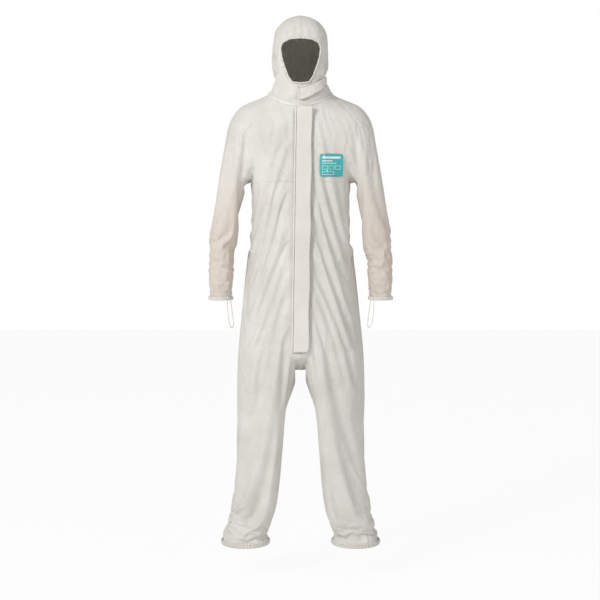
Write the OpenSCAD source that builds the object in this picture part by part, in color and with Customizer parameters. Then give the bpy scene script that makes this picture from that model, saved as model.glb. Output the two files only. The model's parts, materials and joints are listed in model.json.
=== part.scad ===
// Hooded protective coverall of nonwoven cloth, in the shape it takes when it is worn.
// Units are millimetres. +Z is up, -Y is the front and +X is the wearer's left.
// The origin is the centre of the neck seam, where the neck of the wearer passes through.

/* [Body] */
// Neck seam level down to the hip fold line
torso_len = 830; // [690:2:1000]
// Width at the chest, just below the armholes
chest_w = 368; // [306:2:444]
// Width at the waist
waist_w = 394; // [328:2:474]
// Width at the hips
hip_w = 456; // [380:2:548]
// Centre front of the hip fold line, measured forward from the neck axis
belly_d = 142; // [118:1:172]
// Back of the chest, measured backward from the neck axis
blade_d = 134; // [112:1:162]
// Back of the waist
lumbar_d = 112; // [94:1:136]
// Back of the seat
seat_d = 140; // [118:1:170]
// Drop from the neck seam level to the chest seam
chest_seam_drop = 274; // [262:1:330]
// Drop from the neck seam level to the waist elastic
waist_drop = 511; // [420:1:610]
// Thickness of every cloth panel, with its folds and loft
wall = 2; // [1.6:0.1:2.6]

/* [Neck and shoulders] */
// Width of the neck opening
neck_w = 200; // [168:2:240]
// Neck axis to the front of the neck seam
neck_front = 98; // [82:1:112]
// Neck axis to the back of the neck seam
neck_back = 86; // [72:1:104]
// Height of the neck seam at the sides
neck_side_z = 14; // [8:1:20]
// Drop of the neck seam at the centre front
neck_front_drop = 31; // [26:1:38]
// Drop from the neck seam level to the top of the armhole
shoulder_drop = 11; // [4:1:18]
// Height of the armhole
armhole_h = 220; // [184:2:250]
// Depth of the armhole, front to back
armhole_d = 196; // [164:2:214]
// How far the cap of the shoulder stands out past the armhole
cap_out = 79; // [66:1:94]
// Gap in the cloth of a fold at a joint's own axis
fold_gap = 3; // [2:0.5:5]

/* [Sleeves] */
// Shoulder joint down to the elbow
upper_len = 299; // [250:1:358]
// Elbow down to the cuff edge
fore_len = 247; // [206:1:296]
// Width of the sleeve at the elbow
sleeve_w = 116; // [98:2:138]
// Depth of the sleeve at the elbow
sleeve_d = 150; // [126:2:178]
// Space between the sleeve and the side of the body
arm_gap = 5; // [4:1:12]
// Radius of the hand opening inside the cuff elastic
cuff_bore_r = 35; // [30:0.5:41]
// Height of the cuff hem
cuff_hem_h = 12; // [10:1:16]
// Distance from the hip line out to the middle of the cuff
hand_out = 39; // [34:1:48]

/* [Legs] */
// Hip fold line down to the knee
thigh_len = 340; // [284:2:408]
// Knee down to the trouser hem
shin_len = 322; // [268:2:386]
// Width of the leg at the knee
knee_w = 170; // [142:2:204]
// Depth of the leg at the knee
knee_d = 186; // [156:2:222]
// Distance between the two knees' centres
knee_spread = 304; // [290:2:364]
// Distance between the two hems' centres
hem_spread = 372; // [312:2:446]
// Radius of the foot opening inside the ankle elastic
hem_bore_r = 76; // [64:1:90]
// Height of the trouser hem
hem_h = 15; // [12:1:20]
// Half the width of the crotch gusset
gusset_half = 12; // [10:0.5:15]
// Space between the gusset and each inner leg
gusset_gap = 1.5; // [1:0.5:3]
// Drop of the crotch below the hip fold line
crotch_drop = 50; // [40:1:60]

/* [Hood] */
// Top of the hood above the neck seam level
hood_h = 270; // [250:2:324]
// Width of the hood
hood_w = 190; // [158:2:228]
// Neck axis to the forehead edge
hood_front = 106; // [92:1:122]
// Neck axis to the back of the hood
hood_back = 148; // [124:1:176]
// Width of the face opening
face_w = 140; // [118:2:156]
// Height of the face opening
face_h = 153; // [128:1:168]
// Height of the chin edge above the neck seam level
chin_z = 38; // [34:1:44]
// Diameter of the elastic binding round the face
face_roll_d = 7; // [5:0.5:9]

/* [Front closure] */
// Half the space that the zip fills between the two fronts
zip_half = 4; // [4:0.5:6]
// Width of each zip tape
tape_w = 13; // [10:1:16]
// Thickness of the zip tape
tape_t = 0.6; // [0.4:0.1:1]
// Thickness of the row of teeth
teeth_t = 2.2; // [1.6:0.1:3]
// Length of the slider
slider_len = 14; // [10:1:18]
// Width of the slider, which runs between the two fronts
slider_w = 7; // [5:0.5:7]
// Length of the pull tab
pull_len = 30; // [22:1:40]
// Width of the storm flap
flap_w = 50; // [42:1:60]
// Thickness of the storm flap, two layers of cloth
flap_t = 1.4; // [1:0.1:2]
// Space under the storm flap for the slider and its pull
flap_room = 6; // [5:0.5:8]
// How far the foot of the flap stands aside from its head
flap_drift = 12; // [0:1:16]
// Width of the chin flap at its sewn end
chin_flap_h = 37; // [30:1:42]
// Length of the chin flap
chin_flap_len = 88; // [74:1:96]

/* [Label] */
// Side of the square chest label
label_side = 75; // [62:1:90]
// Distance from the zip to the label's nearer edge
label_from_zip = 62; // [56:1:68]
// Drop from the neck seam level to the label's top edge
label_drop = 185; // [160:1:192]
// Thickness of the label
label_t = 0.8; // [0.5:0.1:1.2]

/* [Thumb loops] */
// Diameter of the thumb loop elastic
loop_d = 4; // [3:0.5:5]

/* [Hidden] */

cloth = "#DEDCD6";
cloth_warm = "#E6E3DD";
elastic = "#E8DDD0";
turquoise = "#3FB4B8";

// Squareness of the body's level sections, 2 is an ellipse
body_n = 2.6;
// Squareness of the inner leg where it starts at the hip
inner_n = 9;
// Columns from the centre of a front or back panel to its side
panel_cols = 9;
// Columns round a sleeve and round a leg
sleeve_cols = 20;
leg_cols = 24;
// Columns from the front edge of the hood to the middle of its back
hood_cols = 14;
// Clearance between a fixed part of the closure and the moving slider
slider_gap = 0.3;
// Clearance between the storm flap's hinge line and its root
flap_gap = 0.4;
// Thickness of elastic bands, adhesive strips and printed labels
band_t = 1.5;
strip_t = 0.5;
// Play between two pieces of cloth whose facets don't quite match
seat_gap = 0.3;

// Angles that each fold leaves free
hip_forward = 51;
hip_backward = 16;
elbow_half = 46;
knee_half = 41;
hood_back_lift = 10;
hood_front_lift = 16;

armhole_z = -shoulder_drop - armhole_h / 2;
armpit_z = -shoulder_drop - armhole_h;
armhole_x = chest_w / 2 - 10;
elbow_z = armhole_z - upper_len;
cuff_z = elbow_z - fore_len;
hip_z = -torso_len;
knee_z = hip_z - thigh_len;
hem_z = knee_z - shin_len;
elbow_x = max(chest_w, waist_w) / 2 + arm_gap + sleeve_w / 2;
cuff_x = hip_w / 2 + hand_out;
cuff_r = cuff_bore_r + band_t + wall;
hem_r = hem_bore_r + band_t + wall;
leg_inner_x = gusset_half + gusset_gap;
leg_half = (hip_w / 2 - leg_inner_x) / 2;
lean = (belly_d - neck_front) / (torso_len - neck_front_drop);
lean_a = atan(lean);
neck_hinge_z = neck_side_z + 1;

function mix(a, b, t) = a + (b - a) * t;
function bow(v, n) = sign(v) * pow(abs(v), 2 / n);
function above(v) = max(0, v);
function joined(rows) = [for (r = rows) for (p = r) p];

// A closed wall between an outer and an inner grid of points. A closed grid meets itself after
// its last column. Rows run down and columns run clockwise seen from above, or flip is true.
module shell(outer, inner, closed = false, flip = false) {
    rows = len(outer);
    cols = len(outer[0]);
    half = rows * cols;
    spans = closed ? cols : cols - 1;
    faces_out = [for (i = [0:rows - 2], j = [0:spans - 1])
        let (k = (j + 1) % cols)
        [i * cols + j, i * cols + k, (i + 1) * cols + k, (i + 1) * cols + j]];
    faces_in = [for (q = faces_out) [half + q[3], half + q[2], half + q[1], half + q[0]]];
    low = (rows - 1) * cols;
    rims = [for (j = [0:spans - 1])
        let (k = (j + 1) % cols)
        each [[half + j, half + k, k, j], [low + j, low + k, half + low + k, half + low + j]]];
    sides = closed ? [] : [for (i = [0:rows - 2])
        let (a = i * cols, b = a + cols, c = a + cols - 1, d = b + cols - 1)
        each [[a, b, half + b, half + a], [half + c, half + d, d, c]]];
    quads = concat(faces_out, faces_in, rims, sides);
    tris = [for (q = quads) each [[q[0], q[1], q[2]], [q[0], q[2], q[3]]]];
    polyhedron(concat(joined(outer), joined(inner)),
        flip ? tris : [for (t = tris) [t[2], t[1], t[0]]]);
}

module both_ways(left) {
    mirror([left ? 0 : 1, 0, 0]) children();
}

// ---- body sections

function body_half_w(z) = lookup(z, [
    [hip_z, hip_w / 2],
    [(hip_z - waist_drop) / 2, mix(waist_w, hip_w, 0.35) / 2],
    [-waist_drop, waist_w / 2],
    [-chest_seam_drop - 26, chest_w / 2],
    [armpit_z - 16, chest_w / 2 - 4],
    [armpit_z, armhole_x]]);
function front_d(z) = neck_front + (-neck_front_drop - z) * lean;
function back_d(z) = lookup(z, [
    [hip_z, seat_d - 4],
    [(hip_z - waist_drop) / 2, seat_d],
    [-waist_drop, lumbar_d],
    [armpit_z, blade_d],
    [armhole_z, blade_d - 6],
    [0, neck_back + 4]]);

// Depth of the armhole's edge at a height, none below the armpit
function rim_d(z, inset) = z <= armpit_z ? 0
    : (armhole_d / 2 - inset)
        * sqrt(above(1 - pow((z - armhole_z) / (armhole_h / 2), 2)));

// A point of the front below the shoulder joint, from the zip, u = 0, to the side, u = 1
function front_point(u, z, inset) =
    let (edge = rim_d(z, inset))
    [mix(zip_half, body_half_w(z) - inset, bow(sin(90 * u), body_n)),
        -mix(edge, front_d(z) - inset, bow(cos(90 * u), body_n)), z];
function back_point(u, z, inset) =
    let (edge = rim_d(z, inset))
    [mix(0, body_half_w(z) - inset, bow(sin(90 * u), body_n)),
        mix(edge, back_d(z) - inset, bow(cos(90 * u), body_n)), z];

// The neck seam, from the centre front, turn = 0, round to the centre back, turn = 180
function neck_point(turn, inset) =
    let (c = cos(turn), start = c > 0 ? zip_half * c : 0)
    [start + (neck_w / 2 - inset - start) * sin(turn),
        c > 0 ? -(neck_front - inset) * c : -(neck_back - inset) * c,
        neck_side_z - inset / 2 - (neck_side_z + neck_front_drop) * pow(above(c), 1.6)
            - 9 * pow(above(-c), 1.5)];
function armhole_point(angle, front, inset) =
    [armhole_x, (front ? -1 : 1) * (armhole_d / 2 - inset) * cos(angle),
        armhole_z + (armhole_h / 2 - inset) * sin(angle)];

// Columns of the yoke that end at the neck seam, the rest end at the shoulder line
neck_cols = 5;
// Upper edge of the yoke: half the neck seam from the centre, then the shoulder line
function yoke_top(i, front, inset) = i <= neck_cols
    ? neck_point(front ? 90 * i / neck_cols : 180 - 90 * i / neck_cols, inset)
    : mix(neck_point(90, inset), armhole_point(90, front, inset),
        (i - neck_cols) / (panel_cols - neck_cols));
// A row of the yoke, from the armhole's middle, v = 0, up to its upper edge, v = 1. The last
// column follows the armhole and draws its neighbours with it.
function yoke_row(v, front, inset) =
    let (base = level_row(armhole_z, front, inset),
        pull = armhole_point(90 * v, front, inset)
            - mix(base[panel_cols], yoke_top(panel_cols, front, inset), v))
    [for (i = [0:panel_cols])
        mix(base[i], yoke_top(i, front, inset), v) + pull * pow(i / panel_cols, 3)];

function level_row(z, front, inset) = [for (i = [0:panel_cols])
    front ? front_point(i / panel_cols, z, inset) : back_point(i / panel_cols, z, inset)];

upper_levels = [for (i = [1:5]) armhole_z - armhole_h / 2 * sin(90 * i / 5)];
function upper_panel(front, inset) = concat(
    [for (i = [8:-1:0]) yoke_row(i / 8, front, inset)],
    [for (z = upper_levels) level_row(z, front, inset)],
    [level_row(armpit_z - 16, front, inset), level_row(-chest_seam_drop, front, inset)]);
lower_levels = concat([for (i = [0:3]) mix(-chest_seam_drop, -waist_drop, i / 4)],
    [for (i = [0:6]) mix(-waist_drop, hip_z, i / 6)]);
function lower_panel(front, inset) = [for (z = lower_levels) level_row(z, front, inset)];

module front_upper(left) {
    color(cloth) both_ways(left)
        shell(upper_panel(true, 0), upper_panel(true, wall), flip = true);
}

module front_lower(left) {
    color(cloth) both_ways(left)
        shell(lower_panel(true, 0), lower_panel(true, wall), flip = true);
}

// One row of the back from the right side round to the left side
function whole(row) = concat([for (i = [len(row) - 1:-1:1]) [-row[i].x, row[i].y, row[i].z]],
    [[0, row[0].y, row[0].z]], [for (i = [1:len(row) - 1]) row[i]]);

module back_upper() {
    color(cloth) shell([for (r = upper_panel(false, 0)) whole(r)],
        [for (r = upper_panel(false, wall)) whole(r)]);
}

module back_lower() {
    color(cloth) shell([for (r = lower_panel(false, 0)) whole(r)],
        [for (r = lower_panel(false, wall)) whole(r)]);
}

// Strip between the legs, a half oval from the front of the hip line to the back of it
module crotch_gusset() {
    function arc(inset) = [for (a = [0:10:180])
        [(a < 90 ? back_d(hip_z) : front_d(hip_z)) * cos(a) - inset * cos(a),
            hip_z - (crotch_drop - inset) * sin(a)]];
    color(cloth) translate([-gusset_half, 0, 0]) rotate([90, 0, 90])
        linear_extrude(2 * gusset_half)
            polygon(concat(arc(0), [for (i = [len(arc(wall)) - 1:-1:0]) arc(wall)[i]]));
}

// Band inside the back of the waist, from one side round to the other
module waist_elastic() {
    band_h = 12;
    rows = [for (i = [1, 0, -1]) -waist_drop + i * band_h / 2];
    color(elastic) shell([for (z = rows) whole(level_row(z, false, wall + seat_gap))],
        [for (z = rows) whole(level_row(z, false, wall + seat_gap + band_t))]);
}

// Binding that stands on the neck seam, round the cloth that rises to the hood
function neck_ring(rise, out) = [for (p = open_neck(-out)) [p.x, p.y, p.z + rise]];

module neck_seam_tape() {
    binding_t = 1.2;
    // Rise over the seam and distance out of it, leaning out with the cloth that it goes round
    edges = [[2.5, 1.8], [0.2, 0.6]];
    color(cloth_warm) shell([for (e = edges) neck_ring(e[0], e[1] + binding_t)],
        [for (e = edges) neck_ring(e[0], e[1])], closed = true, flip = true);
}

// ---- sleeves

shoulder_ring_z = armpit_z - 19;
wrist_z = cuff_z + 27;
cuff_top_z = cuff_z + cuff_hem_h;
function sleeve_x(z) = lookup(z, [
    [cuff_z, cuff_x], [wrist_z, cuff_x], [elbow_z, elbow_x],
    [shoulder_ring_z, armhole_x + 62], [armhole_z, armhole_x + cap_out / 2]]);
function sleeve_a(z) = lookup(z, [
    [cuff_top_z, cuff_r], [wrist_z, cuff_r + 5], [wrist_z + 30, sleeve_w / 2 - 8],
    [elbow_z, sleeve_w / 2], [shoulder_ring_z, 51]]);
function sleeve_b(z) = lookup(z, [
    [cuff_top_z, cuff_r], [wrist_z, cuff_r + 6], [wrist_z + 30, sleeve_d / 2 - 18],
    [elbow_z, sleeve_d / 2], [shoulder_ring_z, sleeve_d / 2 + 13]]);

// A point of the sleeve, turn 0 outside, 90 in front. Forward and backward are the tangents
// by which the row rises in front of the elbow line and behind it.
function sleeve_point(turn, z, forward, backward, inset) =
    let (y = -(sleeve_b(z) - inset) * sin(turn),
        level = z + forward * above(-y) + backward * above(y),
        b = sleeve_b(level) - inset)
    [sleeve_x(level) + (sleeve_a(level) - inset) * cos(turn), -b * sin(turn), level];
function sleeve_row(z, forward, inset) = [for (i = [0:sleeve_cols - 1])
    sleeve_point(i * 360 / sleeve_cols, z, forward, 0, inset)];

// The bent ring where the sleeve starts: level over the shoulder, upright under it
function sleeve_rim(inset) = [for (i = [0:sleeve_cols - 1])
    let (turn = i * 360 / sleeve_cols)
    [armhole_x + fold_gap + (cap_out - fold_gap - inset) * above(cos(turn)),
        -(armhole_d / 2 - inset) * sin(turn),
        armhole_z - fold_gap + (armhole_h / 2 - fold_gap - inset) * min(0, cos(turn))]];
function between(a, b, t) = [for (i = [0:len(a) - 1]) mix(a[i], b[i], t)];
function sleeve_upper_rows(inset) = concat(
    [for (t = [0, 0.3, 0.65])
        between(sleeve_rim(inset), sleeve_row(shoulder_ring_z, 0, inset), t)],
    [for (i = [0:6])
        sleeve_row(mix(shoulder_ring_z, elbow_z + fold_gap / 2, i / 6),
            tan(elbow_half) * pow(i / 6, 2), inset)]);
function sleeve_lower_rows(inset) = concat(
    [for (i = [0:5])
        sleeve_row(mix(elbow_z - fold_gap / 2, wrist_z + 30, i / 5),
            -tan(elbow_half) * pow(1 - i / 5, 1.5), inset)],
    [sleeve_row(wrist_z, 0, inset), sleeve_row(cuff_top_z, 0, inset)]);

module sleeve_upper(left) {
    color(cloth) both_ways(left)
        shell(sleeve_upper_rows(0), sleeve_upper_rows(wall), closed = true);
}

module sleeve_lower(left) {
    color(cloth) both_ways(left)
        shell(sleeve_lower_rows(0), sleeve_lower_rows(wall), closed = true);
}

// Cloth that gathers at the inside of the elbow
function elbow_rows(inset) = [for (i = [-3:3])
    sleeve_row(elbow_z + fold_gap / 2 * i / 3, tan(elbow_half) * i / 3, inset)];

module elbow_fold(left) {
    color(cloth_warm) both_ways(left)
        shell(elbow_rows(0), elbow_rows(wall), closed = true, flip = true);
}

// Cloth of the shoulder cap, from the upright armhole round to the level sleeve edge
function armhole_ring(inset) = [for (i = [0:sleeve_cols - 1])
    let (turn = i * 360 / sleeve_cols)
    [armhole_x, -(armhole_d / 2 - inset) * sin(turn),
        armhole_z + (armhole_h / 2 - inset) * cos(turn)]];
function cap_row(t, inset) =
    let (rim = sleeve_rim(inset), hole = armhole_ring(inset))
    [for (i = [0:sleeve_cols - 1])
        hole[i].z > armhole_z
            ? [mix(hole[i].x, rim[i].x, pow(sin(90 * t), 1.5)), mix(hole[i].y, rim[i].y, t),
                mix(rim[i].z, hole[i].z, cos(90 * t))]
            : mix(hole[i], rim[i], t)];
function cap_rows(inset) = [for (i = [0:5]) cap_row(i / 5, inset)];

module shoulder_fold(left) {
    color(cloth_warm) both_ways(left) shell(cap_rows(0), cap_rows(wall), closed = true);
}

// Hem and elastic of the cuff, plain rings round the hand opening
module ring(inner_r, outer_r, h) {
    rotate_extrude($fn = 64) translate([inner_r, 0]) square([outer_r - inner_r, h]);
}

module cuff_hem(left) {
    color(cloth_warm) both_ways(left) translate([cuff_x, 0, cuff_z])
        ring(cuff_bore_r + band_t, cuff_r, cuff_hem_h);
}

module cuff_elastic(left) {
    color(elastic) both_ways(left) translate([cuff_x, 0, cuff_z + 1])
        ring(cuff_bore_r, cuff_bore_r + band_t, cuff_hem_h - 2);
}

// Thumb loop of the left cuff, hanging free, in millimetres from the middle of the cuff edge
loop_route = [
    [-24, -29, 0], [-24, -30, -9], [-24, -33, -22], [-25, -36, -38], [-27, -38, -54],
    [-29, -38, -69], [-32, -35, -82], [-35, -29, -90], [-39, -22, -93], [-42, -15, -90],
    [-43, -10, -81], [-42, -8, -67], [-40, -8, -51], [-38, -10, -35], [-36, -12, -20],
    [-35, -14, -8], [-34, -15, 0]];

// A tube swept along a route, round it is a polygon of the given number of sides
module tube(route, d, sides) {
    last = len(route) - 1;
    rings = [for (i = [0:last])
        let (run = route[min(i + 1, last)] - route[max(i - 1, 0)],
            along = run / norm(run),
            across = cross(along, [0.4, 0.9, 0.1]),
            u = across / norm(across),
            v = cross(along, u))
        [for (k = [0:sides - 1])
            route[i] + d / 2 * (cos(360 * k / sides) * u + sin(360 * k / sides) * v)]];
    walls = [for (i = [0:last - 1], k = [0:sides - 1])
        let (a = i * sides + k, b = i * sides + (k + 1) % sides)
        each [[a, b, b + sides], [a, b + sides, a + sides]]];
    head = [for (k = [1:sides - 2]) [0, k + 1, k]];
    foot = [for (k = [1:sides - 2]) [last * sides, last * sides + k, last * sides + k + 1]];
    polyhedron(joined(rings), [for (t = concat(walls, head, foot)) [t[2], t[1], t[0]]]);
}

module thumb_loop(left) {
    color(elastic) both_ways(left) translate([cuff_x, 0, cuff_z]) tube(loop_route, loop_d, 8);
}

// ---- legs

thigh_z = mix(hip_z, knee_z, 0.52);
hem_top_z = hem_z + hem_h;
function leg_x(z) = lookup(z, [
    [hem_z, hem_spread / 2], [knee_z, knee_spread / 2], [thigh_z, knee_spread / 2 - 14],
    [hip_z, leg_inner_x + leg_half]]);
function leg_a(z) = lookup(z, [
    [hem_top_z, hem_r], [mix(knee_z, hem_z, 0.5), knee_w / 2 + 1], [knee_z, knee_w / 2],
    [thigh_z, knee_w / 2 + 7], [hip_z, leg_half]]);
function leg_b(z) = lookup(z, [
    [hem_top_z, hem_r], [mix(knee_z, hem_z, 0.5), knee_d / 2 - 3], [knee_z, knee_d / 2],
    [thigh_z, knee_d / 2 + 12], [hip_z, (belly_d + seat_d) / 2 - 8]]);
// How much of the body's own outline a leg section keeps: all at the hip, none at mid thigh
function body_share(z) = pow(above((z - thigh_z) / (hip_z - thigh_z)), 1.5);
// Squareness of the inner side, falling from the hip to a plain oval
function leg_n(z, inside) = inside ? mix(body_n, inner_n, body_share(z)) : body_n;
// A leg section's point at a turn, 0 on the outer seam and 90 in front
function leg_section(turn, z, inset) =
    let (n = leg_n(z, cos(turn) < 0), front = sin(turn) > 0,
        x = leg_x(z) + (leg_a(z) - inset) * bow(cos(turn), n),
        plain = (leg_b(z) - inset) * bow(sin(turn), n),
        depth = (front ? belly_d : seat_d - 4) - inset,
        outline = depth * pow(above(1 - pow(x / (hip_w / 2 - inset), body_n)), 1 / body_n),
        body = (front ? 1 : -1) * outline * (cos(turn) < 0 ? abs(bow(sin(turn), n)) : 1))
    [x, -mix(plain, body, body_share(z))];
function leg_point(turn, z, forward, backward, inset) =
    let (y = leg_section(turn, z, inset).y,
        level = z + forward * above(-y) + backward * above(y),
        p = leg_section(turn, level, inset))
    [p.x, p.y, level];

// Half a ring of the leg: the front from the outer seam to the inner seam, or the back
function leg_row(z, forward, backward, front, inset) = [for (i = [0:leg_cols / 2])
    leg_point((front ? 0 : 180) + i * 360 / leg_cols, z, forward, backward, inset)];
function leg_ring(z, forward, backward, inset) = [for (i = [0:leg_cols - 1])
    leg_point(i * 360 / leg_cols, z, forward, backward, inset)];
function thigh_rows(front, inset) = [for (i = [0:6])
    let (t = i / 6)
    leg_row(mix(hip_z - fold_gap - 3 * seat_gap, knee_z + fold_gap / 2, t),
        -tan(hip_forward) * pow(1 - t, 1.6),
        -tan(hip_backward) * pow(1 - t, 1.6) + tan(knee_half) * pow(t, 2), front, inset)];
function shin_rows(front, inset) = concat([for (i = [0:6])
    let (t = i / 6)
    leg_row(mix(knee_z - fold_gap / 2, hem_top_z + 30, t), 0,
        -tan(knee_half) * pow(1 - t, 1.6), front, inset)],
    [leg_row(hem_top_z, 0, 0, front, inset)]);

module leg_upper(left, front) {
    color(cloth) both_ways(left) shell(thigh_rows(front, 0), thigh_rows(front, wall));
}

module leg_lower(left, front) {
    color(cloth) both_ways(left) shell(shin_rows(front, 0), shin_rows(front, wall));
}

function hip_rows(inset) = [for (i = [0:4])
    leg_ring(hip_z - fold_gap * i / 4, -tan(hip_forward) * i / 4,
        -tan(hip_backward) * i / 4, inset)];

module hip_fold(left) {
    color(cloth_warm) both_ways(left) shell(hip_rows(0), hip_rows(wall), closed = true);
}

function knee_rows(inset) = [for (i = [-3:3])
    leg_ring(knee_z + fold_gap / 2 * i / 3, 0, tan(knee_half) * i / 3, inset)];

module knee_fold(left) {
    color(cloth_warm) both_ways(left)
        shell(knee_rows(0), knee_rows(wall), closed = true, flip = true);
}

module leg_hem(left) {
    color(cloth_warm) both_ways(left) translate([hem_spread / 2, 0, hem_z])
        ring(hem_bore_r + band_t, hem_r, hem_h);
}

module leg_elastic(left) {
    color(elastic) both_ways(left) translate([hem_spread / 2, 0, hem_z + 2])
        ring(hem_bore_r, hem_bore_r + band_t, hem_h - 4);
}

// ---- hood

// Outline of half the face opening: share of its half width, share of its height
face_shape = [
    [0, 0], [0.42, 0.02], [0.62, 0.15], [0.8, 0.36], [0.94, 0.58], [1, 0.77],
    [0.88, 0.91], [0.52, 0.98], [0, 1]];
hood_crown = hood_h - 80;
function hood_half_w(z) = z > hood_crown
    ? hood_w / 2 * sqrt(above(1 - pow((z - hood_crown) / (hood_h - hood_crown), 2)))
    : lookup(z, [[-20, neck_w / 2], [neck_side_z, neck_w / 2], [chin_z, hood_w / 2 - 1],
        [chin_z + 44, hood_w / 2 - 4], [hood_crown - 30, hood_w / 2]]);
function hood_fore(z) = lookup(z, [
    [-20, neck_front], [neck_side_z, neck_front], [chin_z, neck_front - 2],
    [chin_z + 60, hood_front], [hood_crown, hood_front - 6], [hood_crown + 40, hood_front - 26],
    [hood_h - 10, hood_front - 56], [hood_h, hood_front - 72]]);
function hood_aft(z) = lookup(z, [
    [-20, neck_back], [neck_side_z, neck_back + 2], [hood_crown / 2, hood_back - 10],
    [hood_crown - 40, hood_back], [hood_crown, hood_back - 6], [hood_crown + 40, hood_back - 32],
    [hood_h - 10, hood_back - 78], [hood_h, hood_back - 100]]);
// The crown's inner side lies a wall below the outer side
function hood_point(turn, z, inset) =
    let (s = abs(sin(turn)) < 0.001 ? 0 : bow(sin(turn), body_n), c = bow(cos(turn), body_n))
    [above(hood_half_w(z) - inset) * s,
        -(c > 0 ? (hood_fore(z) - inset) * c : (hood_aft(z) - inset) * c),
        z > hood_crown ? z - inset * (z - hood_crown) / (hood_h - hood_crown) : z];
function face_turn(x, z) = asin(min(1, pow(x / hood_half_w(z), body_n / 2)));

// The hood's lower edge clears the neck seam and its tape when the hood nods
hood_rise = 11;
function hood_rim_z(y) = neck_hinge_z + hood_rise
    - tan(hood_front_lift) * above(-y) + tan(hood_back_lift) * above(y);
face_rows = len(face_shape) - 1;
// The start of each hood row at its front: turn and height
hood_starts = concat(
    [for (i = [0:2]) [0, mix(hood_rim_z(-neck_front), chin_z, i / 3)]],
    [for (i = [0:face_rows])
        let (z = chin_z + face_h * face_shape[i][1])
        [face_turn(face_w / 2 * face_shape[i][0], z), z]],
    [for (i = [1:6]) [0, mix(chin_z + face_h, hood_h, sin(15 * i))]]);
hood_ends = concat(
    [for (i = [0:2]) mix(hood_rim_z(neck_back), chin_z + 14, i / 3)],
    [for (i = [0:face_rows]) mix(chin_z + 14, hood_h - 42, i / face_rows)],
    [for (i = [1:6]) mix(hood_h - 42, hood_h, sin(15 * i))]);
function hood_grid(inset) = [for (r = [len(hood_starts) - 1:-1:0])
    [for (i = [0:hood_cols])
        let (u = i / hood_cols,
            turn = mix(hood_starts[r][0], 180, u),
            straight = mix(hood_starts[r][1], hood_ends[r], u * u * (3 - 2 * u)),
            c = bow(cos(turn), body_n),
            y = -(c > 0 ? neck_front : neck_back) * c)
        hood_point(turn, r == 0 ? hood_rim_z(y) : straight, inset)]];

module hood(left) {
    color(cloth) both_ways(left) shell(hood_grid(0), hood_grid(wall), flip = true);
}

// Cloth between the neck seam and the hood's lower edge, closed all round
function neck_loop(inset) = concat(
    [for (i = [0:12]) neck_point(i * 15, inset)],
    [for (i = [11:-1:0]) let (p = neck_point(i * 15, inset)) [-p.x, p.y, p.z]]);
function hood_loop(inset) =
    let (half = [for (i = [0:12])
        let (c = bow(cos(i * 15), body_n), z = hood_rim_z(-(c > 0 ? neck_front : neck_back) * c))
        hood_point(i * 15, z, inset) - [0, 0, 2 * seat_gap]])
    concat(half, [for (i = [11:-1:1]) [-half[i].x, half[i].y, half[i].z]]);
function open_neck(inset) =
    let (loop = neck_loop(inset)) [for (i = [0:23]) i == 0 ? [0, loop[0].y, loop[0].z] : loop[i]];

module hood_neck_fold() {
    fold_rise = 1.2;
    color(cloth_warm) shell(
        [for (t = [0:3]) between(hood_loop(0), neck_ring(fold_rise, 0), t / 3)],
        [for (t = [0:3]) between(hood_loop(wall), neck_ring(fold_rise, -wall), t / 3)],
        closed = true, flip = true);
}

// Elastic binding that rolls over the edge of the face opening
face_route = [for (side = [1, -1], i = [0:face_rows - 1])
    let (k = side > 0 ? i : face_rows - i,
        z = chin_z + face_h * face_shape[k][1],
        p = hood_point(face_turn(face_w / 2 * face_shape[k][0], z), z, 0))
    [side * p.x, p.y, p.z]];
module face_elastic() {
    count = len(face_route);
    sides = 8;
    middle = [0, 0, chin_z + face_h / 2];
    rings = [for (i = [0:count - 1])
        let (run = face_route[(i + 1) % count] - face_route[(i + count - 1) % count],
            along = run / norm(run),
            out = cross(along, [0, 1, 0]),
            u = out / norm(out),
            v = cross(u, along),
            inward = u * (middle - face_route[i]) > 0 ? 1 : -1,
            seat = face_route[i] + (face_roll_d / 2 + 2 * seat_gap) * inward * u)
        [for (k = [0:sides - 1])
            seat + face_roll_d / 2 * (cos(360 * k / sides) * u + sin(360 * k / sides) * v)]];
    tris = [for (i = [0:count - 1], k = [0:sides - 1])
        let (a = i * sides + k, b = i * sides + (k + 1) % sides,
            c = (i + 1) % count * sides + k, d = (i + 1) % count * sides + (k + 1) % sides)
        each [[a, b, d], [a, d, c]]];
    color(elastic) polyhedron(joined(rings), tris);
}

// ---- front closure

// Places children on the straight centre-front line: -Z runs down it and -Y points out of it
module on_front(z) {
    translate([0, -front_d(z), z]) rotate([-lean_a, 0, 0]) children();
}
run = 1 / cos(lean_a);
zip_top_z = -neck_front_drop - 5;
zip_len = (torso_len - 15 + zip_top_z) * run;
split = 0.4;
// How far the front of the tape lies behind the cloth's face
zip_seat = wall + 1.6;

module zip_tape(left) {
    color(cloth_warm) both_ways(left) on_front(zip_top_z)
        translate([split, zip_seat, -zip_len]) cube([tape_w - split, tape_t, zip_len]);
}

module zip_teeth(left) {
    tooth = 2.8;
    color(elastic) both_ways(left) on_front(zip_top_z)
        translate([split, zip_seat - teeth_t, -zip_len]) cube([tooth, teeth_t, zip_len]);
}

module zip_bottom_stop() {
    stop_h = 5;
    color("silver") on_front(zip_top_z)
        translate([-zip_half + split, zip_seat - teeth_t - 1, -zip_len - stop_h])
            cube([2 * (zip_half - split), teeth_t + 1, stop_h]);
}

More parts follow.
